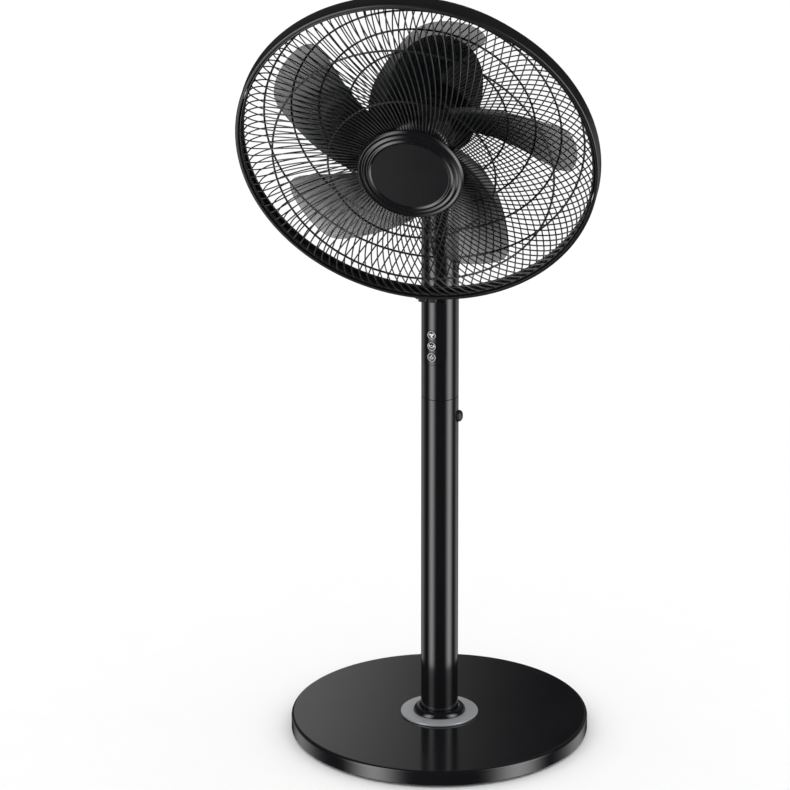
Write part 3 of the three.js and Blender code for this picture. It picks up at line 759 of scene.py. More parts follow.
CORD_HOLE, BOOT_IN, BOOT_OUT = 3.25, 16.1, 33.9
RIB_START, RIB_PITCH, RIB_HEIGHT, RIB_TAPER = 25, 1.8, 0.42, 0.255
rib_y = np.linspace(RIB_START, BOOT_OUT, 60)
rib_wave = RIB_HEIGHT * np.sin((rib_y - RIB_START) * 2 * np.pi / RIB_PITCH)
rib_r = 7.0 - (rib_y - RIB_START) * RIB_TAPER + rib_wave
boot_profile = np.vstack([
    [[CORD_HOLE, BOOT_IN], [6, BOOT_IN], [6, 23], [7.4, 23.3]], np.stack([rib_r, rib_y], -1),
    [[CORD_HOLE, BOOT_OUT]],
])
make_piece(
    "cord_boot", [turned(boot_profile, 64)], rubber, "mast", ["cord_gland"],
    frame_of=along_y(GLAND_Z), sharp=50,
)

# %% Tube cap and inner pole
CAP_R, CAP_LOW, CAP_HIGH = tall_size("tube_cap")
cap_bore, cap_plug, cap_lip = 5.4, 20, CONTROL_TOP + 0.35
cap_profile = rounded([
    (cap_bore, CAP_HIGH - INSET, 0.4), (CAP_R - INSET, CAP_HIGH - INSET, 0.9),
    (CAP_R - INSET, cap_lip, 0.3), (cap_plug, cap_lip, 0), (cap_plug, CAP_LOW, 0.4),
    (cap_bore, CAP_LOW, 0.3),
])
make_piece("tube_top", [turned(cap_profile, 128)], satin, "mast", ["tube_cap"])
POLE_R, POLE_LOW, POLE_TOP = tall_size("inner_pole")
POLE_BORE = 13.4
pole_profile = rounded([
    (POLE_BORE, POLE_LOW, 0.3), (POLE_R, POLE_LOW, 0.3), (POLE_R, POLE_TOP, 0.3),
    (POLE_BORE, POLE_TOP, 0.3),
])
make_piece("sliding_pole", [turned(pole_profile, 128)], chrome, "mast", ["inner_pole"])

# %% [markdown]
# ## The neck
#
# The neck turns on the column and carries the head between two cheeks. Its lower part
# is a loft: circles that flatten little by little into a rounded block. Each cheek is a
# plate with a round top. The lug on the head is a plate of the same kind the other way
# up, and it fits between the cheeks. A bolt through all three is clamped by a fluted knob.

# %% Loft and plates
def signed_power(value, power):
    """The size of a value raised to a power, with the value's own sign."""
    return np.sign(value) * np.abs(value) ** power


def superellipse_loft(levels, rows=40, steps=96):
    """Sections stacked along Z. levels are rows of (z, half width, half depth, power).

    x = width cos^(2/power) and y = depth sin^(2/power), with the sign kept: power 2 is an
    ellipse and a larger power a squarer section. Sections between the rows are worked
    out in proportion, and the first and last section shrink to a point."""
    levels = np.array(levels, float)
    z = np.linspace(levels[0, 0], levels[-1, 0], rows)
    width, depth, power = (np.interp(z, levels[:, 0], levels[:, k])[:, None] for k in (1, 2, 3))
    t = np.linspace(0, 2 * np.pi, steps, endpoint=False)[None]
    x = width * signed_power(np.cos(t), 2 / power)
    y = depth * signed_power(np.sin(t), 2 / power)
    points = np.stack([x, y, np.broadcast_to(z[:, None], x.shape)], -1)
    ends = [points[:1] * (0, 0, 1), points, points[-1:] * (0, 0, 1)]
    return np.concatenate(ends).reshape(-1, 3) * MM, grid_faces(len(z) + 2, steps)


def cheek(radius, foot, x0, x1, edge=1.2):
    """A plate across X from x0 to x1: a half circle on the pivot and straight sides to foot.

    A foot below zero puts the half circle on top, and a foot above zero puts it below.
    Towards each face the outline is pulled in along a quarter circle, which rounds the
    edge."""
    round_steps, side_steps, edge_steps = 49, 12, 6
    turn = np.radians(np.linspace(0, 180, round_steps))
    top = np.stack([radius * np.cos(turn), -math.copysign(radius, foot) * np.sin(turn)], -1)
    side = np.linspace(0, foot, side_steps)[1:]
    right_side = np.column_stack([np.full(len(side), radius), side])[::-1]
    left_side = np.column_stack([np.full(len(side), -radius), side])
    outline = np.vstack([right_side, top, left_side])
    quarter = np.radians(np.linspace(0, 90, edge_steps))
    step_in = edge * (1 - np.cos(quarter))
    x = np.concatenate([x0 + step_in, (x1 - step_in)[::-1]])
    pull = edge * (1 - np.sin(quarter))
    shrink = 1 - np.concatenate([pull, pull[::-1]]) / radius
    middle = np.array([0, foot / 2])
    rings = middle + (outline - middle) * shrink[:, None, None]
    end = np.broadcast_to(middle, rings[:1].shape)
    rings = np.concatenate([end, rings, end])
    x = np.concatenate([x[:1], x, x[-1:]])
    points = np.concatenate([np.broadcast_to(x[:, None, None], rings[..., :1].shape), rings], -1)
    return points.reshape(-1, 3) * MM, grid_faces(len(x), rings.shape[1])


def on_pivot(shell):
    """A shell drawn round the tilt pivot, moved to the pivot's height."""
    return shell[0] + (0, 0, TILT_Z), shell[1]


def on_pivot_tilted(points):
    """A shape drawn round the tilt pivot, turned so that its third axis goes up the head."""
    return np.array([0, 0, TILT_Z]) + points[:, [0, 2, 1]] * (1, 1, -1) @ FAN_AXES


# %% Neck and lug
_, NECK_LOW, _ = tall_size("neck")
PIVOT_Z = TILT_Z / MM
NECK_R = 22.25
neck_body = superellipse_loft([
    (NECK_LOW, NECK_R - 0.65, NECK_R - 0.65, 2), (NECK_LOW + 0.8, NECK_R, NECK_R, 2),
    (NECK_LOW + 8, NECK_R, NECK_R, 2), (NECK_LOW + 26, 20.5, 20.5, 2.1),
    (PIVOT_Z - 26, 18.6, 16.4, 2.8), (PIVOT_Z - 18, 17.4, 14, 4.5),
])
CHEEK_R, CHEEK_FOOT, CHEEK_IN, CHEEK_OUT = 14, -22, 9.35, 17.45
cheeks = [
    on_pivot(cheek(CHEEK_R, CHEEK_FOOT, CHEEK_IN, CHEEK_OUT)),
    on_pivot(cheek(CHEEK_R, CHEEK_FOOT, -CHEEK_OUT, -CHEEK_IN)),
]
make_piece(
    "neck_casting", [neck_body] + cheeks, satin, "swivel", ["neck"], sharp=50,
)
LUG_R, LUG_TOP, LUG_HALF = 12.4, 21, CHEEK_IN - 0.4
make_piece(
    "head_lug", [cheek(LUG_R, LUG_TOP, -LUG_HALF, LUG_HALF)], satin, "head", ["tilt_lug"],
    frame_of=on_pivot_tilted, sharp=50,
)


# %% Clamp bolt and knob
def fluted(profile, lobes, depth, steps=192, closed=False):
    """A turned shape with flutes: radius + depth cos(lobes angle).

    The flute's depth fades with the square of the radius, so the middle stays round."""
    angle = np.linspace(0, 2 * np.pi, steps, endpoint=False)
    r = profile[:, :1]
    r = r + depth * (r / r.max()) ** 2 * np.cos(lobes * angle)
    h = np.broadcast_to(profile[:, 1:], r.shape)
    points = np.stack([r * np.cos(angle), r * np.sin(angle), h], -1) * MM
    return points.reshape(-1, 3), grid_faces(len(profile), steps, close_rows=closed)


NECK_SIDE, BOLT_R, BOLT_HEAD_R, BOLT_START, BOLT_END = 17.9, 4, 7, -22, 27
bolt_profile = rounded([
    (0, BOLT_START, 0), (5.6, BOLT_START, 0.6), (BOLT_HEAD_R, -20.6, 0.4),
    (BOLT_HEAD_R, -NECK_SIDE, 0.2), (BOLT_R, -NECK_SIDE, 0), (BOLT_R, BOLT_END, 0.5), (0, BOLT_END, 0),
], closed=False)
make_piece(
    "clamp_bolt", [turned(bolt_profile, 64, closed=False)], zinc, "swivel", ["tilt_bolt"],
    frame_of=along_x(PIVOT_Z),
)
KNOB_R, FLUTES, FLUTE_DEPTH = 11.5, 12, 0.75
knob_profile = rounded([
    (0, BOLT_END + 0.4, 0), (4.4, BOLT_END + 0.4, 0), (4.4, NECK_SIDE, 0.3), (KNOB_R, NECK_SIDE, 0.6),
    (KNOB_R, 30.2, 1.6), (8.6, 30.9, 0.8), (7.6, 30.2, 0.5), (0, 30.4, 0),
], closed=False)
make_piece(
    "clamp_knob", [fluted(knob_profile, FLUTES, FLUTE_DEPTH)], satin, "knob", ["tilt_knob"],
    frame_of=along_x(PIVOT_Z), sharp=50,
)

# %% [markdown]
# ## The motor housing
#
# The motor sits in a cup moulded from satin ABS. Air would leave through a crown of
# radial slots, which are made here as narrow grooves: the wall is pressed in where a
# repeated cosine of the angle is high, and only along part of the profile. A plate with
# stepped rings closes the front.

# %% Motor cover with cooling grooves
def smooth_curve(points, steps):
    """A smooth curve through (a, b) rows, by Catmull-Rom: each span is a cubic whose
    end slopes are half the difference of the points on either side."""
    p = np.array(points, float)
    p = np.vstack([2 * p[0] - p[1], p, 2 * p[-1] - p[-2]])
    just_short = 1e-9  # keeps the last point inside the last span
    t = np.linspace(0, len(p) - 3 - just_short, steps)
    i, f = t.astype(int), (t % 1)[:, None]
    a, b, c, d = p[i], p[i + 1], p[i + 2], p[i + 3]
    square, cube = 2 * a - 5 * b + 4 * c - d, 3 * b - a - 3 * c + d
    return 0.5 * (2 * b + (c - a) * f + square * f**2 + cube * f**3)


def logistic(value):
    """A soft step from 0 to 1, halfway at 0."""
    return 1 / (1 + np.exp(-value))


_, COVER_BACK, COVER_FRONT = head_size("motor_cover")
cover_back = COVER_BACK + INSET
skin = smooth_curve([
    (0.01, cover_back), (18, cover_back + 1.6), (36, -50), (48, -33), (54, -8), (56.8, 26),
    (56.9, COVER_FRONT - 0.6),
], 90)
lip = [[56.3, COVER_FRONT], [54.6, COVER_FRONT]]
lining = smooth_curve([(54.5, 26), (51, -7), (44.5, -31), (32, -47), (15, -56), (0.01, -58)], 24)
profile = np.vstack([skin, lip, lining])
slopes = np.gradient(profile, axis=0)
normals = np.stack([slopes[:, 1], -slopes[:, 0]], -1)
normals /= np.linalg.norm(normals, axis=1, keepdims=True)

GROOVES, GROOVE_DEPTH, TURN_STEPS = 48, 2.0, 576
GROOVE_START, GROOVE_END = 14, 47  # steps along the profile from the middle of the back
angle = np.linspace(0, 2 * np.pi, TURN_STEPS, endpoint=False)
step = np.arange(len(profile))
crown = logistic((step - GROOVE_START) * 1.6) * logistic((GROOVE_END - step) * 1.6)
slots = logistic((np.cos(GROOVES * angle) - 0.25) * 9)
press_in = GROOVE_DEPTH * crown[:, None] * slots[None]
r = profile[:, :1] - normals[:, :1] * press_in
h = profile[:, 1:] - normals[:, 1:] * press_in
points = np.stack([r * np.cos(angle), r * np.sin(angle), h], -1).reshape(-1, 3) * MM
make_piece(
    "motor_housing", [(points, grid_faces(len(profile), TURN_STEPS))], satin, "head",
    ["motor_cover"], frame_of=from_fan, sharp=70,
)

# %% Front plate of the motor
PLATE_R, _, BOSS_FRONT = head_size("motor_front_plate")
SHAFT_HOLE, BOSS_R, PLATE_FRONT, plate_side = 4.5, 19.9, 59.9, PLATE_R - 2 * INSET
plate_profile = rounded([
    (SHAFT_HOLE, 50.1, 0), (9.4, 50.1, 0), (9.4, 55.3, 0), (plate_side, 55.3, 0.3),
    (plate_side, 58.6, 1.2), (50, PLATE_FRONT, 0.8), (48, 59, 0.4), (26, 59, 0.4),
    (25, PLATE_FRONT, 0.4), (BOSS_R, PLATE_FRONT, 0.4), (BOSS_R, BOSS_FRONT - INSET, 0.6),
    (SHAFT_HOLE, BOSS_FRONT - INSET, 0.3),
])
make_piece(
    "motor_faceplate", [turned(plate_profile)], satin, "head", ["motor_front_plate"],
    frame_of=from_fan,
)

# %% [markdown]
# ## The cage
#
# A cage is welded from steel wire, more than a hundred thin spokes and a few thicker
# rings, and then coated with black powder. The spokes swirl, one way in front and the
# other way behind, which makes the fine crossing pattern. A spoke is a curve whose
# radius and depth follow the cage's profile while its angle grows in step, and one call
# makes all of them at once.

# %% Spokes and rings
SPOKES, SWIRL = 116, 20
SPOKE_RADIUS, RING_RADIUS, EDGE_RADIUS = 0.85, 1.25, 1.8
EDGE_RING = 211
RING_DEPTH = SPOKE_RADIUS + 1.0


def spokes(profile, swirl, steps=30):
    """Paths of all spokes: angle = start + swirl times the share of the way out."""
    curve = smooth_curve(profile, steps)
    share = (curve[:, 0] - curve[0, 0]) / (curve[-1, 0] - curve[0, 0])
    start = np.linspace(0, 2 * np.pi, SPOKES, endpoint=False)[:, None]
    angle = start + math.radians(swirl) * share
    r, h = curve[:, 0], np.broadcast_to(curve[:, 1], angle.shape)
    return np.stack([r * np.cos(angle), r * np.sin(angle), h], -1) * MM


def depth_at(profile, radius):
    """How far forward the cage's profile lies at a radius."""
    curve = smooth_curve(profile, 200)
    return np.interp(radius, curve[:, 0], curve[:, 1])


def inner_rings(profile, radii):
    """Rings welded to the back of the spokes, one at each radius."""
    return [ring(radius, depth_at(profile, radius) - RING_DEPTH, RING_RADIUS) for radius in radii]


# %% The two halves
rear_profile = [(54, 62.3), (110, 64), (160, 72), (190, 86), (206, 104), (210.6, 119)]
PAN_IN, PAN_OUT, PAN_BACK, PAN_FRONT = 20.4, 57.9, 60.4, 63.4
rear_pan = turned(rounded([
    (PAN_IN, PAN_BACK, 0.3), (PAN_OUT, PAN_BACK, 0.4), (PAN_OUT, PAN_FRONT, 1.0),
    (52, PAN_FRONT, 0.3), (50.5, 62.6, 0.3), (38, 62.6, 0.3), (36.5, PAN_FRONT, 0.3),
    (PAN_IN, PAN_FRONT, 0.3),
]))
rear_shells = [wires(spokes(rear_profile, -SWIRL), SPOKE_RADIUS)]
rear_shells += inner_rings(rear_profile, (96, 130, 162, 192))
rear_shells += [ring(EDGE_RING, 119.6, EDGE_RADIUS), rear_pan]
make_piece(
    "rear_cage", rear_shells, wire_coat, "head", ["rear_grille"],
    frame_of=from_fan, sharp=60,
)

front_profile = [(60, 169), (110, 167.6), (160, 161.8), (190, 151.6), (206, 139.8), (210.6, 132.6)]
front_shells = [wires(spokes(front_profile, SWIRL), SPOKE_RADIUS)]
front_shells += inner_rings(front_profile, (100, 168))
front_shells += [ring(EDGE_RING, 132.4, EDGE_RADIUS), ring(59.5, 169, EDGE_RADIUS)]
make_piece(
    "front_cage", front_shells, wire_coat, "head", ["front_grille"],
    frame_of=from_fan, sharp=60,
)

# %% [markdown]
# ## Rim, latch and clip
#
# A rolled steel band in semi-gloss black closes the two cage halves. Its edges curl
# inwards, so the section is a flat strip with rounded lips. Below, a small latch block is
# pinched by a screw, and above a clip holds the halves while they are fitted.

# %% The rim band
rim_out, rim_in, rim_lip = CAGE_R - INSET, CAGE_R - 2.2, CAGE_R - 4.1
rim_back, rim_front = RIM_BACK + 2 * INSET, RIM_FRONT - 2 * INSET
rim_profile = rounded([
    (rim_lip, rim_back, 0.3), (rim_out, rim_back, 2.2), (rim_out, rim_front, 2.2),
    (rim_lip, rim_front, 0.3), (rim_lip, RIM_FRONT - 1.6, 0.3), (rim_in, RIM_FRONT - 2.0, 0.5),
    (rim_in, RIM_BACK + 2.0, 0.5), (rim_lip, RIM_BACK + 1.6, 0.3),
])
make_piece(
    "rim_strip", [turned(rim_profile, 288)], band_enamel, "head", ["rim_band"],
    frame_of=from_fan,
)


# %% Latch and clip
def soft_block(low, high, power):
    """A block with rounded edges: a ball whose every coordinate is raised to a small power.

    x = cos(v)^(2/power) cos(u)^(2/power) and so on, with the sign kept, stretched to the
    two corners."""
    rows, columns = 33, 64
    u = np.linspace(0, 2 * np.pi, columns, endpoint=False)
    v = np.linspace(-np.pi / 2, np.pi / 2, rows)[:, None]
    small = 2 / power
    x = signed_power(np.cos(v), small) * signed_power(np.cos(u), small)
    y = signed_power(np.cos(v), small) * signed_power(np.sin(u), small)
    z = signed_power(np.sin(v), small) + 0 * u
    low, high = np.array(low, float), np.array(high, float)
    points = np.stack([x, y, z], -1) * (high - low) / 2 + (high + low) / 2
    return points.reshape(-1, 3) * MM, grid_faces(rows, columns)


def across_head(up, forward):
    """Lays a turned shape across the head, at a height up and a depth forward in mm."""
    return lambda points: from_fan(
        np.stack([points[:, 2], points[:, 0] + up * MM, points[:, 1] + forward * MM], -1)
    )


latch_top = -CAGE_R - 0.3
latch_foot = latch_top - 7
latch_shells = [
    soft_block((-11, latch_foot, 119.2), (-1.6, latch_top, 132.8), 7),
    soft_block((1.6, latch_foot, 119.2), (11, latch_top, 132.8), 7),
    soft_block((-9, latch_top - 2.2, 121), (9, latch_top, 131), 9),
]
make_piece(
    "latch_jaws", latch_shells, satin, "head", ["rim_latch"],
    frame_of=from_fan, sharp=50,
)
SCREW_R, SCREW_HEAD_R, SCREW_START, SCREW_END = 1.6, 3.4, -15, 13
screw_profile = rounded([
    (0, SCREW_START, 0), (2.6, SCREW_START, 0.3), (SCREW_HEAD_R, -14, 0.4),
    (SCREW_HEAD_R, -11.4, 0.2), (SCREW_R, -11.4, 0), (SCREW_R, SCREW_END, 0.3), (0, SCREW_END, 0),
], closed=False)
make_piece(
    "latch_screw", [turned(screw_profile, 48, closed=False)], zinc, "head", ["rim_screw"],
    frame_of=across_head(latch_top - 3.5, 126),
)
clip_top = CAGE_R - 9.35
clip_foot = clip_top - 2.4
clip_shells = [
    soft_block((-7.9, clip_foot, 119.6), (-1.5, clip_top, 130.4), 7),
    soft_block((1.5, clip_foot, 119.6), (7.9, clip_top, 130.4), 7),
    soft_block((-6, clip_top - 1.8, 122), (6, clip_top - 0.3, 128), 7),
]
make_piece(
    "upper_clip", clip_shells, satin, "head", ["top_clip"],
    frame_of=from_fan, sharp=50,
)

# %% [markdown]
# ## The centre badge
#
# The badge covers the hub of the front cage. It is a polished-mould disc with three
# raised rings round a plain flat face. The rings are drawn as a profile with small
# roundings, so each one carries its own thin highlight.

# %% Badge and its backing
BADGE_R, BADGE_BACK, BADGE_FRONT = head_size("badge")
badge_edge = BADGE_R - 2 * INSET
badge_profile = rounded([
    (0, BADGE_BACK, 0), (badge_edge, BADGE_BACK, 0.3), (badge_edge, 174.2, 1.4), (61.4, 177.1, 1.1),
    (57.8, 176.1, 1.1), (54.9, 178.0, 1.1), (51.8, 176.9, 1.1), (49, BADGE_FRONT, 1.1),
    (46.4, 177.0, 1.1), (43, 177.0, 2), (0, 177.1, 0),
], closed=False)
make_piece(
    "badge_disc", [turned(badge_profile, 192, closed=False)], piano, "head", ["badge"],
    frame_of=from_fan, sharp=50,
)
BACK_R, BACK_LOW, BACK_HIGH = head_size("badge_back")
back_profile = rounded([
    (0, BACK_LOW + 1.4, 0), (44, BACK_LOW + 1.4, 0.4), (46, BACK_LOW, 0.4), (BACK_R, BACK_LOW, 0.8),
    (BACK_R, BACK_HIGH, 0.3), (0, BACK_HIGH, 0),
], closed=False)
make_piece(
    "badge_carrier", [turned(back_profile, 128, closed=False)], satin, "head", ["badge_back"],
    frame_of=from_fan,
)

# %% [markdown]
# Two fluted nuts are turned by hand. A wide one holds the rear cage to the motor, and a
# small one, the spinner, holds the impeller on its shaft.

# %% Cage nut and spinner
NUT_BORE, NUT_R, NUT_BACK, NUT_FRONT = 20.4, 32.9, 63.9, 70.9
nut_profile = rounded([
    (NUT_BORE, NUT_BACK, 0.3), (NUT_R, NUT_BACK, 0.5), (NUT_R, NUT_FRONT, 1.2), (27, NUT_FRONT, 0.5),
    (26, 69.6, 0.4), (23, 69.6, 0.4), (22.4, NUT_FRONT, 0.3), (NUT_BORE, NUT_FRONT, 0.3),
])
make_piece(
    "cage_nut", [fluted(nut_profile, 8, 1.45, closed=True)], satin, "head", ["grille_nut"],
    frame_of=from_fan, sharp=50,
)
SHAFT_R, SPINNER_R, SPINNER_BACK, SHAFT_END = 4.4, 14.4, 138.4, 150.6
spinner_profile = rounded([
    (0, SHAFT_END, 0), (SHAFT_R, SHAFT_END, 0), (SHAFT_R, SPINNER_BACK, 0),
    (SPINNER_R, SPINNER_BACK, 0.4), (SPINNER_R, 146, 1.5), (9, 152.8, 2), (0, 153.9, 0),
], closed=False)
make_piece(
    "spinner", [fluted(spinner_profile, 16, 0.4)], satin, "rotor", ["spinner_nut"],
    frame_of=from_fan, sharp=50,
)

# %% [markdown]
# ## The impeller
#
# Five broad blades and their hub are moulded in one shot of smoke-tinted AS plastic.
# The plastic is thick and nearly black by the hub and lets light through towards the
# tips. The shader's Alpha does this: it follows an attribute that grows from root to
# tip, so the cage behind shows through the outer half of each blade only.

# %% Blade surface
IMPELLER_R, _, _ = head_size("impeller")
BLADES, FIRST_BLADE = 5, 74
BLADE_ROOT, BLADE_TIP = 35.0, IMPELLER_R - 0.2
BLADE_PLANE = (RIM_BACK + RIM_FRONT) / 2 - 8
ROOT_PITCH, PITCH_FALL, BOW, HALF_THICK = 30, 18, 6, 1.15


def blade(turn, span_steps=64, around_steps=64):
    """One blade as a closed surface of span and angle round its section.

    Along the span the radius grows from root to tip, and share is the radius over the
    cage's. The chord widens quickly near the hub and then levels off, as 0.44 of the
    cage's radius times 1 - exp(-(share + 0.02) / 0.24). The middle of the chord sweeps
    on by 100 degrees times (0.87 - share)^1.7. The pitch falls evenly with the share,
    and the section is bowed by 1 - across^2. Towards both ends the section closes by
    (1 - latitude^10)^0.4, which rounds the corners."""
    latitude = -np.cos(np.linspace(0, np.pi, span_steps))[:, None]
    section = np.linspace(0, 2 * np.pi, around_steps, endpoint=False)[None]
    fill = (1 - np.clip(latitude**10, 0, 1)) ** 0.4
    across, side = np.cos(section) * fill, np.sin(section) * fill
    r = BLADE_ROOT + (BLADE_TIP - BLADE_ROOT) * (1 + latitude) / 2
    share = r / CAGE_R
    chord = 0.44 * CAGE_R * (1 - np.exp(-(share + 0.02) / 0.24))
    sweep = math.radians(100) * np.maximum(0.87 - share, 0) ** 1.7
    angle = math.radians(turn) + sweep - across * chord / (2 * r)
    pitch = np.radians(ROOT_PITCH - PITCH_FALL * share)
    height = BLADE_PLANE - across * chord / 2 * np.tan(pitch)
    height = height - BOW * (1 - across**2) + side * HALF_THICK
    r = r + 0 * across
    points = np.stack([r * np.cos(angle), r * np.sin(angle), height], -1)
    return points.reshape(-1, 3) * MM, grid_faces(span_steps, around_steps)


# %% Smoke-tinted plastic
def smoke_plastic():
    """Tinted AS plastic, glossy and nearly black by the hub, and a clear grey at the tips.

    Its alpha falls from 0.99 at 0.42 of the radius to 0.55 at 0.95 of it."""
    material = finish("smoke_tinted_moulded_as_plastic", "#151618", 0.14, 0.03, 8.0, 0.001, shade=1.2)
    tree = material.node_tree
    principled = next(n for n in tree.nodes if n.type == "BSDF_PRINCIPLED")
    span = add(tree, "ShaderNodeAttribute", attribute_name="span")
    alpha = add(tree, "ShaderNodeMapRange", {
        "Value": span.outputs["Fac"], "From Min": 0.42, "From Max": 0.95,
        "To Min": 0.99, "To Max": 0.55,
    })
    tree.links.new(alpha.outputs["Result"], principled.inputs["Alpha"])
    return material


# %% Hub and five blades
HUB_BORE, HUB_R, HUB_LINING = 4.4, 39.9, 36.9
HUB_BACK, HUB_FRONT, BOSS_BACK = 92.1, 137.9, 88.1
hub_profile = rounded([
    (HUB_BORE, BOSS_BACK, 0.3), (11, BOSS_BACK, 0.4), (11, 134, 0), (28, 132, 3),
    (HUB_LINING, 124, 3), (HUB_LINING, HUB_BACK, 0.3), (HUB_R, HUB_BACK, 0.4), (HUB_R, 127, 7),
    (28, 136.2, 6), (14, HUB_FRONT, 1), (HUB_BORE, HUB_FRONT, 0.3),
])
blades = [blade(FIRST_BLADE + 360 / BLADES * i) for i in range(BLADES)]
impeller = make_piece(
    "smoke_impeller", [turned(hub_profile)] + blades, smoke_plastic(),
    "rotor", ["impeller"], frame_of=from_fan, sharp=60,
)
local = (mesh_points(impeller.data) - FAN_ORIGIN) @ FAN_AXES.T
span = np.clip(np.hypot(local[:, 0], local[:, 1]) / (IMPELLER_R * MM), 0, 1)
attribute = impeller.data.attributes.new("span", "FLOAT", "POINT")
attribute.data.foreach_set("value", span.astype(np.float32))
print("blade tips at", round(IMPELLER_R), "mm")

# %% [markdown]
# ## Parts that stay as they are
#
# The weight, motor, gears and fixings are hidden inside, and their plain turned shapes
# are right already. They only get the finish of what they are made of.

# %% Finishes for the inner parts
inner = {
    rubber: ["centre_foot"] + [f"foot_pad_{i}" for i in range(1, 7)],
    satin: ["base_plate"],
    iron: ["base_weight"],
    zinc: ["column_plug", "anchor_washer", "anchor_nut", "oscillation_motor", "swivel_spindle",
           "rear_bearing", "front_bearing", "motor_rotor", "motor_stator", "motor_shaft"],
    nylon: ["guide_bush", "pole_glide", "pole_socket", "motor_carrier", "swivel_bush",
            "swivel_gear", "drive_pinion"],
    solder_mask: ["control_board"],
    varnished_copper: ["front_winding", "rear_winding"],
}
for material, names in inner.items():
    for name in names:
        mesh = frame["nodes"][name].data
        mesh.materials.clear()
        mesh.materials.append(material)
print(sum(len(names) for names in inner.values()), "inner parts")

# %% [markdown]
# ## Studio
#
# Black gloss shows nothing but what it mirrors. So the room is white for the eye and for
# soft light, but hidden from reflections, and a few soft-edged cards that only
# reflections can see draw the two bright strips on the column, the thin light along its
# edges and the pale sheen on the base. The floor is a wide pale disc.

# %% Camera
AZIMUTH, ELEVATION = 11.0, 22.0
DISTANCE = 12.0  # metres
AIM_HEIGHT, AIM_LEFT, LENS = 437, 54, 455


def seen_from(azimuth, elevation):
    """The direction from the fan to a viewer at an azimuth and elevation."""
    a, e = math.radians(azimuth), math.radians(elevation)
    return Vector((math.sin(a) * math.cos(e), -math.cos(a) * math.cos(e), math.sin(e)))


right = Vector((math.cos(math.radians(AZIMUTH)), math.sin(math.radians(AZIMUTH)), 0))
aim = Vector((0, 0, AIM_HEIGHT * MM)) - right * AIM_LEFT * MM
camera = bpy.data.objects.new("camera", bpy.data.cameras.new("camera"))
bpy.context.scene.collection.objects.link(camera)
camera.location = aim + seen_from(AZIMUTH, ELEVATION) * DISTANCE
camera.rotation_euler = (-seen_from(AZIMUTH, ELEVATION)).to_track_quat("-Z", "Y").to_euler()
camera.data.lens = LENS
camera.data.clip_end = 400
bpy.context.scene.camera = camera
print("camera at", [round(v, 2) for v in camera.location])

# %% White room and floor
world = bpy.data.worlds.new("white_room")
bpy.context.scene.world = world
world.use_nodes = True
ROOM_LIGHT = 1.12
background = world.node_tree.nodes["Background"]
background.inputs["Color"].default_value = (1, 1, 1, 1)
background.inputs["Strength"].default_value = ROOM_LIGHT
world.cycles_visibility.glossy = False
bpy.context.scene.view_settings.view_transform = "Standard"

floor_profile = np.array([[0, 0], [2000, 0], [20000, 0], [60000, 0]], float)
floor_points, floor_faces = turned(floor_profile, 96, closed=False)
floor_mesh = bpy.data.meshes.new("floor")
floor_mesh.from_pydata(floor_points.tolist(), [], floor_faces[:, ::-1].tolist())
floor = bpy.data.objects.new("floor", floor_mesh)
bpy.context.scene.collection.objects.link(floor)
# An even white without any shine, on which only the soft shadow shows.
floor_paint = finish(
    "white_matt_studio_floor", "#f4f4f4", 0.9, 0.02, 8, 0.002, shade=1.02, Specular_IOR_Level=0.0
)
floor_mesh.materials.append(floor_paint)
floor.visible_glossy = False


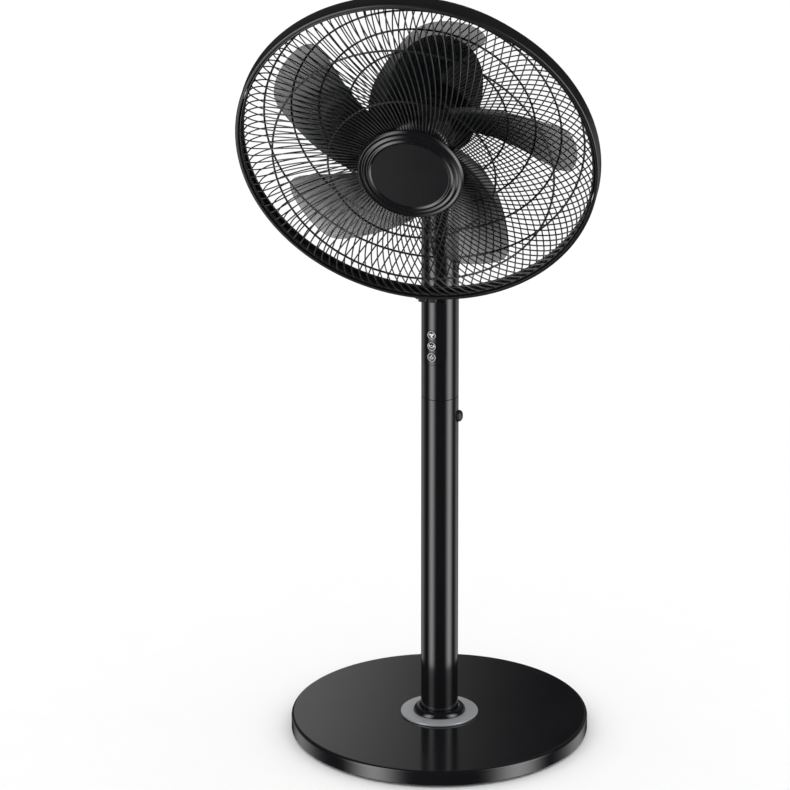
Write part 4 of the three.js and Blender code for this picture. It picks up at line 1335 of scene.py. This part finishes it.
# %% Cards that only reflections see
def card(name, azimuth, half_turn, low, high, distance, strength, crest=0.5):
    """A curved card round the fan, whose glow fades to nothing at all four edges.

    azimuth and half_turn are degrees, low, high and distance metres. Across it the glow
    is the cube of the cosine of a quarter turn. Up it the glow is the cosine of a quarter
    turn on either side of the crest, which is a share of the height."""
    columns, rows = 49, 33
    across = np.linspace(-1, 1, columns)
    up = np.linspace(0, 1, rows)
    turn = np.radians(azimuth + half_turn * across)[None] + 0 * up[:, None]
    height = (low + (high - low) * up)[:, None] + 0 * turn
    points = np.stack([np.sin(turn) * distance, -np.cos(turn) * distance, height], -1)
    faces = grid_faces(rows, columns, close_columns=False)
    mesh = bpy.data.meshes.new(name)
    mesh.from_pydata(points.reshape(-1, 3).tolist(), [], faces.tolist())
    side = np.where(up < crest, (crest - up) / crest, (up - crest) / (1 - crest))
    glow = np.cos(np.pi / 2 * side)[:, None] * (np.cos(np.pi / 2 * across) ** 3)[None]
    glow_attribute = mesh.attributes.new("glow", "FLOAT", "POINT")
    glow_attribute.data.foreach_set("value", glow.ravel().astype(np.float32))
    mesh.materials.append(card_light(name, strength))
    piece = bpy.data.objects.new(name, mesh)
    bpy.context.scene.collection.objects.link(piece)
    piece.visible_camera = False
    piece.visible_diffuse = False
    piece.visible_shadow = False
    piece.visible_transmission = False
    piece.visible_volume_scatter = False


def card_light(name, strength):
    """White light whose strength follows the card's own glow, so its edges stay soft."""
    material = bpy.data.materials.new(name)
    material.use_nodes = True
    tree = material.node_tree
    tree.nodes.clear()
    level = add(tree, "ShaderNodeAttribute", attribute_name="glow")
    times = add(tree, "ShaderNodeMath", {0: level.outputs["Fac"], 1: strength}, operation="MULTIPLY")
    light = add(tree, "ShaderNodeEmission", {"Strength": times.outputs["Value"]})
    add(tree, "ShaderNodeOutputMaterial", {"Surface": light.outputs["Emission"]})
    return material


# The two bright strips down the column.
card("left_card", AZIMUTH - 51, 34, -3.5, 4.2, 2.5, 5.4)
card("right_card", AZIMUTH + 61, 36, -3.5, 4.2, 2.5, 5.4)
# The thin lighter lines along the column's two edges.
card("left_edge_card", AZIMUTH - 128, 42, -4.5, 0.6, 2.6, 1.0)
card("right_edge_card", AZIMUTH + 128, 42, -4.5, 0.6, 2.6, 1.15)
card("edge_card", AZIMUTH + 180, 62, -4.5, 0.5, 2.65, 0.6)
# A dim glow behind the fan, for the tops of rounded parts.
card("back_card", AZIMUTH + 180, 90, -1.2, 5.5, 2.7, 0.16)
# The pale sheen on the base.
card("base_card", AZIMUTH + 188, 15, 0.1, 1.35, 2.0, 0.85, crest=0.45)
print("studio ready")
